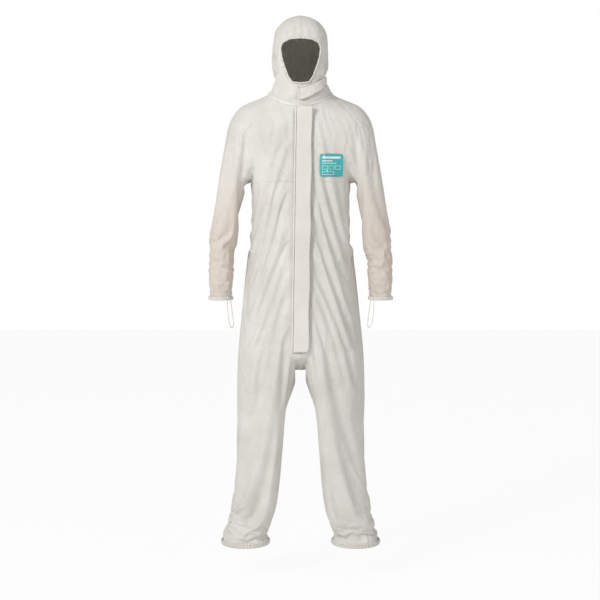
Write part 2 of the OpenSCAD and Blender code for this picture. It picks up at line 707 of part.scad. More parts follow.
// Two wings with a blade between them that runs in the split of the teeth
slider_plate = 1.4;
slider_drop = 4;
module zip_slider() {
    blade = split - slider_gap + 0.1;
    front_y = zip_seat - teeth_t - slider_gap;
    back_y = zip_seat + tape_t + slider_gap;
    color("silver") on_front(zip_top_z) translate([0, 0, -slider_drop - slider_len]) union() {
        translate([-slider_w / 2, front_y - slider_plate, 0])
            cube([slider_w, slider_plate, slider_len]);
        translate([-slider_w / 2, back_y, 0])
            cube([slider_w, slider_plate, slider_len]);
        translate([-blade, front_y - slider_plate, slider_len - 5])
            cube([2 * blade, back_y - front_y + 2 * slider_plate, 5]);
    }
}

module zip_pull() {
    pull_w = 6;
    pull_t = 1.2;
    front_y = zip_seat - teeth_t - slider_gap - slider_plate;
    color("silver") on_front(zip_top_z)
        translate([-pull_w / 2, front_y - pull_t, -slider_drop - slider_len / 2 - pull_len])
            cube([pull_w, pull_t, pull_len]);
}

// The storm flap and its sewn root follow the zip, turned aside by the drift
flap_top_z = -neck_front_drop - 1;
flap_len = (torso_len - 2 + flap_top_z) * run;
flap_x = -12;
drift_a = atan(flap_drift / flap_len);
module on_flap() {
    translate([flap_x, -front_d(flap_top_z), flap_top_z]) rotate([-lean_a, drift_a, 0]) children();
}

module storm_flap_root() {
    root_w = 6;
    color(cloth_warm) on_flap() translate([-root_w - flap_gap, -flap_room - flap_t, -flap_len])
        cube([root_w, flap_room + flap_t, flap_len]);
}

module storm_flap() {
    color(cloth_warm) on_flap() translate([0, -flap_room - flap_t, -flap_len])
        cube([flap_w, flap_t, flap_len]);
}

module storm_flap_tape() {
    strip_w = 12;
    color(cloth) on_flap() translate([flap_w - strip_w - 3, -flap_room, -flap_len + 4])
        cube([strip_w, strip_t, flap_len - 8]);
}

// Chin flap: a band that rises from the middle of the chin to the left cheek
chin_room = 5;
function chin_row(share, out) = [for (i = [0:10])
    let (u = i / 10,
        x = mix(-2, chin_flap_len - 2, u),
        low = mix(-11, chin_z - 2, pow(u, 1.5)),
        z = low + mix(chin_flap_h, chin_flap_h - 6, u) * share,
        w = hood_half_w(z),
        y = hood_fore(z) * pow(above(1 - pow(abs(x) / w, body_n)), 1 / body_n))
    [x, -y - out - 4 * u, z]];

module chin_flap() {
    rows = [for (v = [3:-1:0]) v / 3];
    color(cloth_warm) shell([for (v = rows) chin_row(v, chin_room + flap_t)],
        [for (v = rows) chin_row(v, chin_room)], flip = true);
}

// Sewn edge of the chin flap, from the hood out to the flap
module chin_flap_root() {
    root_w = 6;
    color(cloth_warm) translate([-2 - flap_gap - root_w, -neck_front - chin_room - flap_t, -9])
        cube([root_w, chin_room + flap_t, chin_flap_h - 4]);
}

module chin_flap_tape() {
    function part(v, out) = [for (i = [7:10]) chin_row(v, out)[i]];
    rows = [2 / 3, 1 / 3];
    back_out = chin_room - 2 * seat_gap;
    color(cloth) shell([for (v = rows) part(v, back_out)],
        [for (v = rows) part(v, back_out - strip_t)], flip = true);
}

// ---- labels

function front_turn(x, z) =
    asin(pow((x - zip_half) / (body_half_w(z) - zip_half), body_n / 2)) / 90;
function label_row(z, inset) = [for (i = [0:8])
    front_point(front_turn(label_from_zip + label_side * i / 8, z), z, inset)];

module chest_label() {
    rows = [for (i = [0:4]) -label_drop - label_side * i / 4];
    color(turquoise) shell([for (z = rows) label_row(z, -label_t - 0.3)],
        [for (z = rows) label_row(z, -0.3)], flip = true);
}

// Hangs inside the back of the neck, along the line of the upper back
module size_label() {
    label_w = 30;
    label_h = 50;
    label_gap = 2.8;
    drop = 8;
    seam = yoke_top(0, false, 0);
    slope = (back_d(armhole_z) - seam.y) / (seam.z - armhole_z);
    color("white")
        translate([-label_w / 2, seam.y + drop * slope - wall - label_gap, seam.z - drop])
            rotate([atan(slope), 0, 0]) translate([0, -strip_t, -label_h])
                cube([label_w, strip_t, label_h]);
}

front_upper(true);  // front_upper_left
front_upper(false);  // front_upper_right
front_lower(true);  // front_lower_left
front_lower(false);  // front_lower_right
back_upper();
back_lower();
crotch_gusset();
waist_elastic();
neck_seam_tape();
shoulder_fold(true);  // shoulder_fold_left
shoulder_fold(false);  // shoulder_fold_right
sleeve_upper(true);  // sleeve_upper_left
sleeve_upper(false);  // sleeve_upper_right
elbow_fold(true);  // elbow_fold_left
elbow_fold(false);  // elbow_fold_right
sleeve_lower(true);  // sleeve_lower_left
sleeve_lower(false);  // sleeve_lower_right
cuff_hem(true);  // cuff_hem_left
cuff_hem(false);  // cuff_hem_right
cuff_elastic(true);  // cuff_elastic_left
cuff_elastic(false);  // cuff_elastic_right
thumb_loop(true);  // thumb_loop_left
thumb_loop(false);  // thumb_loop_right
hip_fold(true);  // hip_fold_left
hip_fold(false);  // hip_fold_right
leg_upper(true, true);  // leg_upper_front_left
leg_upper(false, true);  // leg_upper_front_right
leg_upper(true, false);  // leg_upper_back_left
leg_upper(false, false);  // leg_upper_back_right
knee_fold(true);  // knee_fold_left
knee_fold(false);  // knee_fold_right
leg_lower(true, true);  // leg_lower_front_left
leg_lower(false, true);  // leg_lower_front_right
leg_lower(true, false);  // leg_lower_back_left
leg_lower(false, false);  // leg_lower_back_right
leg_hem(true);  // leg_hem_left
leg_hem(false);  // leg_hem_right
leg_elastic(true);  // leg_elastic_left
leg_elastic(false);  // leg_elastic_right
hood(true);  // hood_left
hood(false);  // hood_right
hood_neck_fold();
face_elastic();
chin_flap_root();
chin_flap();
chin_flap_tape();
storm_flap_root();
storm_flap();
storm_flap_tape();
zip_tape(true);  // zip_tape_left
zip_tape(false);  // zip_tape_right
zip_teeth(true);  // zip_teeth_left
zip_teeth(false);  // zip_teeth_right
zip_bottom_stop();
zip_slider();
zip_pull();
chest_label();
size_label();
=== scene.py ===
import json
import math

import bmesh
import bpy
import numpy as np
from mathutils import Matrix, Vector
from mathutils.bvhtree import BVHTree


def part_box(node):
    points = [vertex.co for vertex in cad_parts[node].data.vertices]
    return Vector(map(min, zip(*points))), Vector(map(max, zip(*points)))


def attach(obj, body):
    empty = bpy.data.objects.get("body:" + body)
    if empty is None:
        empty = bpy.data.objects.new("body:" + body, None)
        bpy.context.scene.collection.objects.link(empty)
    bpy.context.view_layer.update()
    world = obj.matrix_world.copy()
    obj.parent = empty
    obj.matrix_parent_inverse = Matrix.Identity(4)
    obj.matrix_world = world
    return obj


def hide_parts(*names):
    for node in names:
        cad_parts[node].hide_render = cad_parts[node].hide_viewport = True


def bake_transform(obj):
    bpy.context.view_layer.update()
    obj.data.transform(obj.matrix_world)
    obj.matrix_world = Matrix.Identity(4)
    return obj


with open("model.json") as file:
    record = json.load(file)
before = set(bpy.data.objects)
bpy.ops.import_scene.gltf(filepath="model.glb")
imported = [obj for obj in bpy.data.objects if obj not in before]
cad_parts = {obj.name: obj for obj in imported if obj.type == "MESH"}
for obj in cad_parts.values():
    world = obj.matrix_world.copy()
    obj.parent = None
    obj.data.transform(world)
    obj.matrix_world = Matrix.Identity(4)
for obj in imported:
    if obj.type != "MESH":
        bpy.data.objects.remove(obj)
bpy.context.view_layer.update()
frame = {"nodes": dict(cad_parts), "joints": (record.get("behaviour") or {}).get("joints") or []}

scene = bpy.context.scene
bothSides = (("left", 1), ("right", -1))


def boxOf(node):
    low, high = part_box(node)
    return np.array(low), np.array(high)


# ---------- places on the frame

cuffLow, cuffHigh = boxOf("cuff_hem_left")
hemLow, hemHigh = boxOf("leg_hem_left")
neckTapeLow, neckTapeHigh = boxOf("neck_seam_tape")
flapLow, flapHigh = boxOf("storm_flap")
zipLow, zipHigh = boxOf("zip_tape_left")
faceLow, faceHigh = boxOf("face_elastic")
hoodLow, hoodHigh = boxOf("hood_left")
joints = {j["name"]: j for j in frame["joints"]}
place = {
    "neckFrontZ": neckTapeLow[2],
    "armholeX": joints["shoulder_left"]["pos_m"][0],
    "armholeZ": joints["shoulder_left"]["pos_m"][2],
    "armpitZ": boxOf("shoulder_fold_left")[0][2],
    "chestSeamZ": boxOf("front_upper_left")[0][2],
    "waistZ": sum(boxOf("waist_elastic")[i][2] for i in (0, 1)) / 2,
    "elbowZ": joints["elbow_left"]["pos_m"][2],
    "cuffZ": cuffLow[2],
    "cuffX": (cuffLow[0] + cuffHigh[0]) / 2,
    "hipZ": joints["hip_left"]["pos_m"][2],
    "kneeZ": joints["knee_left"]["pos_m"][2],
    "hemZ": hemLow[2],
    "hemX": (hemLow[0] + hemHigh[0]) / 2,
    "faceMidZ": (faceLow[2] + faceHigh[2]) / 2,
}


# ---------- small tools

def meshObject(name, verts, faces):
    mesh = bpy.data.meshes.new(name)
    mesh.from_pydata([tuple(v) for v in verts], [], [tuple(f) for f in faces])
    mesh.update()
    obj = bpy.data.objects.new(name, mesh)
    scene.collection.objects.link(obj)
    return obj


def pointsOf(mesh):
    co = np.empty(len(mesh.vertices) * 3)
    mesh.vertices.foreach_get("co", co)
    return co.reshape(-1, 3)


def baked(obj):
    bpy.context.view_layer.update()
    made = bpy.data.meshes.new_from_object(obj.evaluated_get(bpy.context.evaluated_depsgraph_get()))
    old = obj.data
    obj.modifiers.clear()
    obj.data = made
    bpy.data.meshes.remove(old)
    return obj


def smoothStep(value, low, high):
    t = np.clip((value - low) / (high - low), 0, 1)
    return t * t * (3 - 2 * t)


# ---------- the garment's form, sliced level by level from the frame

formSettings = {
    "spokes": 72,           # points round a level
    "voxel": 0.009,         # edge of the cloth's quads
    "bodySlack": -0.004,    # the form starts a little inside the frame, and the cloth swells out
    "sleeveSlack": -0.005,
}


def trianglesOf(names):
    parts = []
    for name in names:
        mesh = frame["nodes"][name].data
        mesh.calc_loop_triangles()
        tri = np.empty(len(mesh.loop_triangles) * 3, np.int32)
        mesh.loop_triangles.foreach_get("vertices", tri)
        parts.append(pointsOf(mesh)[tri.reshape(-1, 3)])
    return np.concatenate(parts)


def hullOf(points):
    points = sorted({(round(x, 6), round(y, 6)) for x, y in points})

    def chain(run):
        out = []
        for p in run:
            while len(out) > 1 and ((out[-1][0] - out[-2][0]) * (p[1] - out[-2][1])
                                    - (out[-1][1] - out[-2][1]) * (p[0] - out[-2][0])) <= 0:
                out.pop()
            out.append(p)
        return out[:-1]

    return np.array(chain(points) + chain(points[::-1]))


def levelRing(triangles, z, grow=0.0, reach=0.0):
    ahead = np.roll(triangles, -1, axis=1)
    level = z + 2e-5        # just off the rows of the frame's own points
    here, there = triangles[..., 2] - level, ahead[..., 2] - level
    crossing = here * there < 0
    share = here[crossing] / (here[crossing] - there[crossing])
    flat = (triangles[crossing] + (ahead[crossing] - triangles[crossing]) * share[:, None])[:, :2]
    if reach:
        flat = np.concatenate([flat, flat + [reach, 0]])
    hull = hullOf(flat)
    middle = (hull.min(0) + hull.max(0)) / 2
    after = np.roll(hull, -1, axis=0)
    steps = np.linspace(0, 1, 14, endpoint=False)[:, None, None]
    edge = (hull + (after - hull) * steps).reshape(-1, 2) - middle
    turn = np.arctan2(edge[:, 1], edge[:, 0])
    order = np.argsort(turn)
    turns = np.linspace(-math.pi, math.pi, formSettings["spokes"], endpoint=False)
    radius = np.interp(turns, turn[order], np.hypot(edge[:, 0], edge[:, 1])[order], period=2 * math.pi)
    radius = np.maximum(radius + grow, 0.3 * radius)
    return np.stack([middle[0] + radius * np.cos(turns), middle[1] + radius * np.sin(turns),
                     np.full_like(turns, z)], axis=1)


def moved(ring, dz):
    return ring + [0, 0, dz]


def addLoft(verts, faces, rings):
    base, count = len(verts), len(rings[0])
    for ring in rings:
        verts.extend(ring)
    for i in range(len(rings) - 1):
        for j in range(count):
            k = (j + 1) % count
            a = base + i * count
            faces.append((a + j, a + k, a + count + k, a + count + j))
    for row, turnOver in ((0, True), (len(rings) - 1, False)):
        middle = len(verts)
        verts.append(np.mean(rings[row], axis=0))
        for j in range(count):
            a, b = base + row * count + j, base + row * count + (j + 1) % count
            faces.append((b, a, middle) if turnOver else (a, b, middle))


bodyNodes = ["front_upper_left", "front_upper_right", "front_lower_left", "front_lower_right",
             "back_upper", "back_lower"]
headNodes = ["hood_left", "hood_right", "hood_neck_fold"]


def sleeveNodes(side):
    return [n + side for n in ("shoulder_fold_", "sleeve_upper_", "elbow_fold_", "sleeve_lower_",
                               "cuff_hem_")]


def legNodes(side):
    return [n + side for n in ("hip_fold_", "leg_upper_front_", "leg_upper_back_", "knee_fold_",
                               "leg_lower_front_", "leg_lower_back_", "leg_hem_")]


def formOf(name, voxel, ease):
    verts, faces = [], []
    bodyTris, headTris = trianglesOf(bodyNodes), trianglesOf(headNodes)
    aside = np.cos(np.linspace(-math.pi, math.pi, formSettings["spokes"], endpoint=False)) ** 2
    bodyLevels = np.concatenate([np.linspace(place["hipZ"] + 0.002, place["armpitZ"], 16),
                                 np.linspace(place["armpitZ"] + 0.02, -0.033, 8)])
    rings = [levelRing(bodyTris, z, ease("body", z) * (0.3 + 0.7 * aside)) for z in bodyLevels]
    rings.insert(0, moved(rings[0], -0.012))
    both = np.concatenate([bodyTris, headTris])
    rings += [levelRing(both, z, ease("neck", z)) for z in (-0.024, -0.016, -0.008, 0.0, 0.008)]
    rings += [levelRing(headTris, z, ease("hood", z)) for z in np.linspace(0.026, hoodHigh[2] - 0.002, 18)]
    addLoft(verts, faces, rings)
    for side, sign in bothSides:
        tris = trianglesOf(sleeveNodes(side))
        top = [levelRing(tris, z, ease("sleeve", z), reach=-sign * 0.06)
               for z in np.linspace(-0.014, place["armpitZ"] + 0.004, 12)]
        low = [levelRing(tris, z, ease("sleeve", z))
               for z in np.linspace(place["armpitZ"] - 0.02, place["cuffZ"] + 0.001, 30)]
        rings = top + low + [moved(low[-1], -0.03)]
        addLoft(verts, faces, rings[::-1])
        tris = trianglesOf(legNodes(side))
        rings = [levelRing(tris, z, ease("leg", z))
                 for z in np.linspace(place["hipZ"] - 0.001, place["hemZ"] + 0.001, 40)]
        rings = [moved(rings[0], 0.02)] + rings + [moved(rings[-1], -0.03)]
        addLoft(verts, faces, rings[::-1])
    gussetLow, gussetHigh = boxOf("crotch_gusset")
    tris = trianglesOf(["crotch_gusset"])
    rings = [levelRing(tris, z, 0.004) for z in np.linspace(gussetLow[2] + 0.002, place["hipZ"] - 0.001, 6)]
    addLoft(verts, faces, rings + [moved(rings[-1], 0.02)])
    obj = meshObject(name, verts, faces)
    remesh = obj.modifiers.new("remesh", "REMESH")
    remesh.mode = "VOXEL"
    remesh.voxel_size = voxel
    smooth = obj.modifiers.new("smooth", "SMOOTH")
    smooth.iterations = 5
    return baked(obj)


# How far the garment's form starts inside the frame, level by level. The sleeves and the sides of
# the body keep apart, or the remesh would weld them, and the cloth swells back out.
garmentForm = {
    "body": [(-0.83, 0.004), (-0.62, 0.005), (-0.55, 0.011), (-0.26, 0.011), (-0.235, 0.004), (0, 0.003)],
    "neck": [(0, 0.002)],
    "hood": [(0.02, 0.001), (0.27, 0.000)],
    "sleeve": [(-0.667, 0.002), (-0.60, 0.005), (-0.50, 0.010), (-0.25, 0.010), (-0.22, 0.004), (0, 0.003)],
    "leg": [(-1.5, 0.002), (-1.3, 0.005), (-0.83, 0.004)],
}
# How far the wearer's body lies inside the cloth, level by level
wearerForm = {
    "body": [(-0.83, 0.030), (-0.66, 0.034), (-0.51, 0.040), (-0.33, 0.030), (-0.2, 0.016), (0, 0.010)],
    "neck": [(0, 0.030)],
    "hood": [(0.02, 0.030), (0.06, 0.022), (0.15, 0.014), (0.27, 0.010)],
    "sleeve": [(-0.667, 0.007), (-0.61, 0.012), (-0.42, 0.028), (-0.25, 0.026), (-0.1, 0.012), (0, 0.008)],
    "leg": [(-1.5, 0.016), (-1.42, 0.028), (-1.3, 0.036), (-1.17, 0.028), (-0.95, 0.028), (-0.83, 0.030)],
}


def easeFrom(table):
    def ease(part, z):
        levels = sorted(table[part])
        return -float(np.interp(z, [a for a, _ in levels], [b for _, b in levels]))
    return ease


print("form of the garment")
garment = formOf("garment", formSettings["voxel"], easeFrom(garmentForm))

# ---------- openings at the cuffs, the hems and the face

faceTris = trianglesOf(["face_elastic"]).reshape(-1, 3)
faceTurns = np.linspace(-math.pi, math.pi, 64, endpoint=False)


def faceMeasure(values, blur=0.18):
    x, z = faceTris[:, 0], faceTris[:, 2] - place["faceMidZ"]
    turn = np.arctan2(z, x)
    return np.array([np.average(values, weights=np.exp(-(np.angle(np.exp(1j * (turn - t))) / blur) ** 2))
                     for t in faceTurns])


faceReach = faceMeasure(np.hypot(faceTris[:, 0], faceTris[:, 2] - place["faceMidZ"]))


def faceEdge(x, z):
    turn = np.arctan2(z - place["faceMidZ"], x)
    return np.hypot(x, z - place["faceMidZ"]) / np.interp(turn, faceTurns, faceReach, period=2 * math.pi)


def onSleeve(x, z):
    upper = (z > place["armpitZ"] - 0.004) & (np.abs(x) > place["armholeX"])
    line = np.interp(z, [place["cuffZ"], place["elbowZ"], place["armpitZ"]], [0.222, 0.196, 0.187])
    lower = (z <= place["armpitZ"] - 0.004) & (np.abs(x) > line) & (z > place["cuffZ"] - 0.004)
    return upper | lower


def openUp(obj):
    bm = bmesh.new()
    bm.from_mesh(obj.data)

    def cut(inside, co, no):
        faces = [f for f in bm.faces if inside(f.calc_center_median())]
        geom = {v for f in faces for v in f.verts} | {e for f in faces for e in f.edges}
        bmesh.ops.bisect_plane(bm, geom=list(geom) + faces, plane_co=co, plane_no=no, clear_outer=True)

    cut(lambda c: math.hypot(abs(c.x) - place["cuffX"], c.y) < 0.048
        and abs(c.z - place["cuffZ"]) < 0.045, (0, 0, place["cuffZ"]), (0, 0, -1))
    cut(lambda c: c.z < place["hemZ"] + 0.03, (0, 0, place["hemZ"]), (0, 0, -1))
    face = [f for f in bm.faces if f.calc_center_median().y < 0 and f.calc_center_median().z > 0.02
            and faceEdge(f.calc_center_median().x, f.calc_center_median().z) < 1]
    bmesh.ops.delete(bm, geom=face, context="FACES")
    for e in bm.edges:
        if e.is_boundary and e.verts[0].co.z > 0.02:
            for v in e.verts:
                share = float(faceEdge(v.co.x, v.co.z))
                v.co.x /= share
                v.co.z = place["faceMidZ"] + (v.co.z - place["faceMidZ"]) / share
    for f in bm.faces:
        c = f.calc_center_median()
        f.material_index = (1 if c.x > 0 else 2) if onSleeve(np.array(c.x), np.array(c.z)) else 0
    bm.to_mesh(obj.data)
    bm.free()


garment.data.materials.clear()
for n in ("middle", "leftArm", "rightArm"):
    garment.data.materials.append(bpy.data.materials.new(n))
openUp(garment)

# ---------- the cloth falls on the wearer

clothSettings = {
    "frames": 34,
    "swell": 0.030,        # spare cloth each way
    "bending": 0.6,
    "stiffness": 18.0,
    "mass": 0.12,
}


def heldWeights(co):
    x, y, z = co[:, 0], co[:, 1], co[:, 2]
    side = np.abs(x)
    sleeve = onSleeve(x, z)
    held = np.where(sleeve & (z < place["cuffZ"] + 0.05), 1 - smoothStep(z - place["cuffZ"], 0.012, 0.03), 0)
    held = np.maximum(held, 1 - smoothStep(z - place["hemZ"], 0.010, 0.028))
    front = (y < 0) & (z < place["neckFrontZ"] + 0.01) & (z > place["hipZ"] - 0.01)
    held = np.maximum(held, np.where(front, 1 - smoothStep(side, 0.022, 0.055), 0))
    face = (y < 0) & (z > 0.02)
    held = np.maximum(held, np.where(face, 1 - smoothStep(faceEdge(x, z), 1.0, 1.10), 0))
    waist = (y > 0.04) & ~sleeve
    held = np.maximum(held, np.where(waist, 0.8 - 0.8 * smoothStep(np.abs(z - place["waistZ"]), 0.004, 0.014), 0))
    neckZ = np.interp(-y, [-0.09, 0, 0.098], [0.006, 0.014, -0.029])
    neck = (side < 0.115) & (np.abs(y) < 0.115)
    held = np.maximum(held, np.where(neck, 1 - smoothStep(np.abs(z - neckZ), 0.006, 0.016), 0))
    return held


def drape(obj):
    wearer = formOf("wearer", 0.016, easeFrom(wearerForm))
    wearer.modifiers.new("collision", "COLLISION")
    wearer.collision.thickness_outer = 0.002
    wearer.collision.cloth_friction = 8
    group = obj.vertex_groups.new(name="held")
    for i, weight in enumerate(heldWeights(pointsOf(obj.data))):
        if weight > 0:
            group.add([i], float(weight), "REPLACE")
    cloth = obj.modifiers.new("cloth", "CLOTH")
    s = cloth.settings
    s.quality = 5
    s.mass = clothSettings["mass"]
    s.tension_stiffness = s.compression_stiffness = clothSettings["stiffness"]
    s.shear_stiffness = clothSettings["stiffness"] * 0.5
    s.bending_stiffness = clothSettings["bending"]
    s.tension_damping = s.compression_damping = 8
    s.air_damping = 2
    s.shrink_min = -clothSettings["swell"]
    s.vertex_group_mass = "held"
    s.pin_stiffness = 1
    cloth.collision_settings.distance_min = 0.003
    cloth.collision_settings.use_self_collision = False
    cloth.point_cache.frame_start = 1
    cloth.point_cache.frame_end = clothSettings["frames"]
    for f in range(1, clothSettings["frames"] + 1):
        scene.frame_set(f)
    baked(obj)
    scene.frame_set(1)
    obj.vertex_groups.clear()
    bpy.data.objects.remove(wearer)


print("drape")
drape(garment)


def clearZip(obj):
    tape = pointsOf(frame["nodes"]["zip_tape_left"].data)
    top, foot = tape[:, 2].max(), tape[:, 2].min()
    co = pointsOf(obj.data)
    side = np.abs(co[:, 0])
    behind = np.interp(co[:, 2], [foot, top], [tape[tape[:, 2] < foot + 0.01][:, 1].max(),
                                               tape[tape[:, 2] > top - 0.01][:, 1].max()])
    room = np.interp(side, [0.007, 0.015, 0.045], [0.0034, 0.0006, -0.02])
    near = (co[:, 1] < 0) & (side < 0.045) & (co[:, 2] < top + 0.003) & (co[:, 2] > foot - 0.012)
    co[near, 1] = np.maximum(co[near, 1], (behind + room)[near])
    obj.data.vertices.foreach_set("co", co.ravel())
    obj.data.update()


# The slider's back plate runs behind the tapes, so the cloth there keeps clear of it
clearZip(garment)
subdivision = garment.modifiers.new("subdivision", "SUBSURF")
subdivision.levels = subdivision.render_levels = 1
baked(garment)

# ---------- finishes


def srgb(code):
    parts = [int(code[i:i + 2], 16) / 255 for i in (1, 3, 5)]
    return [p / 12.92 if p <= 0.04045 else ((p + 0.055) / 1.055) ** 2.4 for p in parts] + [1]


def node(tree, kind, settings=None, **links):
    made = tree.nodes.new(kind)
    for key, value in (settings or {}).items():
        if isinstance(key, int) or key in made.inputs:
            made.inputs[key].default_value = value
        else:
            setattr(made, key, value)
    for key, source in links.items():
        socket = made.inputs[int(key[1:])] if key[0] == "i" and key[1:].isdigit() else made.inputs[
            key.replace("_", " ")]
        tree.links.new(source, socket)
    return made


def finish(name, colour, roughness, metallic=0.0):
    material = bpy.data.materials.new(name)
    material.use_nodes = True
    shader = material.node_tree.nodes["Principled BSDF"]
    shader.inputs["Base Color"].default_value = srgb(colour)
    shader.inputs["Roughness"].default_value = roughness
    shader.inputs["Metallic"].default_value = metallic
    return material, material.node_tree, shader


# Spunbonded polypropylene laminate, calendered: a matt paper-white skin with point-bond dimples and
# loose fibres; on the lower sleeves a faint warm cast is painted in, standing for light that comes back through
# the thin cloth from the wearer's skin
clothFinish = {
    "colour": "#E6E4DE",
    "shade": "#D9D5CC",
    "bondPitch": 0.0042,    # real bonds are 1.5 mm apart, drawn coarser so that they show
    "fibre": 0.0011,
    "crinkle": 0.028,
    "bump": 0.5,
    "through": 0.10,        # share of the light that comes through the thin cloth
}


def clothMaterial(name, colour, shade, crinkle=1.0, warm=None):
    c = clothFinish
    material, tree, shader = finish(name, colour, 0.72)
    shader.inputs["Sheen Weight"].default_value = 0.12
    shader.inputs["Sheen Roughness"].default_value = 0.5
    shader.inputs["Specular IOR Level"].default_value = 0.35
    here = node(tree, "ShaderNodeTexCoord").outputs["Object"]
    bonds = node(tree, "ShaderNodeTexVoronoi", {"Scale": 1 / c["bondPitch"], "Randomness": 0.25}, Vector=here)
    dimple = node(tree, "ShaderNodeMapRange", {"From Min": 0.12, "From Max": 0.34},
                  Value=bonds.outputs["Distance"])
    fibres = node(tree, "ShaderNodeTexNoise", {"Scale": 1 / c["fibre"], "Detail": 3.0, "Distortion": 1.2},
                  Vector=here)
    crinkles = node(tree, "ShaderNodeTexNoise",
                    {"Scale": 1 / c["crinkle"], "Detail": 5.0, "Roughness": 0.62, "Distortion": 0.7},
                    Vector=here)
    ridge = node(tree, "ShaderNodeMath", {"operation": "PINGPONG", 1: 0.5}, i0=node(
        tree, "ShaderNodeMath", {"operation": "MULTIPLY", 1: 3.0}, i0=crinkles.outputs["Fac"]).outputs[0])
    cloud = node(tree, "ShaderNodeTexNoise", {"Scale": 9.0, "Detail": 3.0}, Vector=here)
    mix = node(tree, "ShaderNodeMix", {"data_type": "RGBA"},
               Factor=node(tree, "ShaderNodeMapRange", {"From Min": 0.35, "From Max": 0.7},
                           Value=cloud.outputs["Fac"]).outputs[0])
    mix.inputs[6].default_value = srgb(colour)
    mix.inputs[7].default_value = srgb(shade)
    base = mix.outputs[2]
    # Painted warm cast on the sleeves, growing towards the cuffs: light from the wearer's skin showing through the
    # cloth
    if warm:
        height = node(tree, "ShaderNodeSeparateXYZ", Vector=here)
        low = node(tree, "ShaderNodeMapRange", {"From Min": -0.16, "From Max": -0.46, "To Max": 0.85},
                   Value=height.outputs["Z"])
        paintedShowThrough = node(tree, "ShaderNodeMix", {"data_type": "RGBA"}, Factor=low.outputs[0], i6=base)
        paintedShowThrough.inputs[7].default_value = srgb(warm)
        base = paintedShowThrough.outputs[2]
    # Painted shade in the bond dimples: the base colour is made 5% darker where the dimple bump is lowest
    dimpleShade = node(tree, "ShaderNodeMix", {"data_type": "RGBA", "blend_type": "MULTIPLY", "Factor": 0.05},
                 i6=base)
    tree.links.new(dimple.outputs[0], dimpleShade.inputs[7])
    tree.links.new(dimpleShade.outputs[2], shader.inputs["Base Color"])
    rough = node(tree, "ShaderNodeMapRange", {"To Min": 0.62, "To Max": 0.8}, Value=fibres.outputs["Fac"])
    tree.links.new(rough.outputs[0], shader.inputs["Roughness"])
    first = node(tree, "ShaderNodeBump", {"Strength": c["bump"] * crinkle, "Distance": 0.0035},
                 Height=ridge.outputs[0])
    second = node(tree, "ShaderNodeBump", {"Strength": 0.22, "Distance": 0.0005},
                  Height=dimple.outputs[0], Normal=first.outputs[0])
    third = node(tree, "ShaderNodeBump", {"Strength": 0.15, "Distance": 0.0004},
                 Height=fibres.outputs["Fac"], Normal=second.outputs[0])
    tree.links.new(third.outputs[0], shader.inputs["Normal"])
    glow = node(tree, "ShaderNodeBsdfTranslucent", Color=dimpleShade.outputs[2], Normal=third.outputs[0])
    both = node(tree, "ShaderNodeMixShader", {"Fac": c["through"]}, i1=shader.outputs[0], i2=glow.outputs[0])
    tree.links.new(both.outputs[0], tree.nodes["Material Output"].inputs["Surface"])
    return material


nonwoven = clothMaterial("spunbond_laminate", "#E6E4DE", "#DAD7CF")
# The sleeves' copy carries the painted warm cast of the wearer's skin showing through
nonwovenSleeve = clothMaterial("spunbond_laminate_thin", "#E6E4DE", "#DAD7CF", warm="#DDD0C5")
flapCloth = clothMaterial("spunbond_laminate_folded", "#E9E5DF", "#E0DAD2", crinkle=0.35)


def ribbedMaterial(name, colour, shade, pitch, roughness):
    material, tree, shader = finish(name, colour, roughness)
    shader.inputs["Sheen Weight"].default_value = 0.2
    here = node(tree, "ShaderNodeTexCoord").outputs["Object"]
    ribs = node(tree, "ShaderNodeTexWave", {"Scale": 1 / pitch / 6.28, "Distortion": 0.6, "Detail": 1.0,
                                            "bands_direction": "Z"}, Vector=here)
    # Painted shade in the grooves: the darker colour lies where the rib bump is low
    mix = node(tree, "ShaderNodeMix", {"data_type": "RGBA"}, Factor=ribs.outputs["Fac"])
    mix.inputs[6].default_value, mix.inputs[7].default_value = srgb(shade), srgb(colour)
    tree.links.new(mix.outputs[2], shader.inputs["Base Color"])
    bump = node(tree, "ShaderNodeBump", {"Strength": 0.5, "Distance": 0.0004}, Height=ribs.outputs["Fac"])
    tree.links.new(bump.outputs[0], shader.inputs["Normal"])
    return material


# Each second colour is the painted shade for the grooves between the ribs
braidedElastic = ribbedMaterial("braided_polyester_elastic", "#EDE4D8", "#D8CBBB", 0.0012, 0.7)
wovenTape = ribbedMaterial("woven_polyester_tape", "#EFEEEA", "#DEDCD6", 0.0010, 0.65)
sewingThread = ribbedMaterial("spun_polyester_thread", "#F2F0EB", "#DDDAD2", 0.0008, 0.6)
mouldedZip = ribbedMaterial("moulded_polyester_coil", "#F0EFEB", "#DAD8D2", 0.0015, 0.42)


def enamelMaterial(name, colour):
    material, tree, shader = finish(name, colour, 0.3)
    shader.inputs["Coat Weight"].default_value = 0.3
    here = node(tree, "ShaderNodeTexCoord").outputs["Object"]
    wear = node(tree, "ShaderNodeTexNoise", {"Scale": 900.0, "Detail": 4.0}, Vector=here)
    rough = node(tree, "ShaderNodeMapRange", {"To Min": 0.22, "To Max": 0.45}, Value=wear.outputs["Fac"])
    tree.links.new(rough.outputs[0], shader.inputs["Roughness"])
    return material


enamel = enamelMaterial("white_enamelled_zinc", "#E8E8E6")


def printedMaterial(name, colour, shade):
    material, tree, shader = finish(name, colour, 0.5)
    here = node(tree, "ShaderNodeTexCoord").outputs["Object"]
    grain = node(tree, "ShaderNodeTexNoise", {"Scale": 700.0, "Detail": 3.0}, Vector=here)
    mix = node(tree, "ShaderNodeMix", {"data_type": "RGBA"}, Factor=grain.outputs["Fac"])
    mix.inputs[6].default_value, mix.inputs[7].default_value = srgb(colour), srgb(shade)
    tree.links.new(mix.outputs[2], shader.inputs["Base Color"])
    bump = node(tree, "ShaderNodeBump", {"Strength": 0.15, "Distance": 0.0003}, Height=grain.outputs["Fac"])
    tree.links.new(bump.outputs[0], shader.inputs["Normal"])
    return material


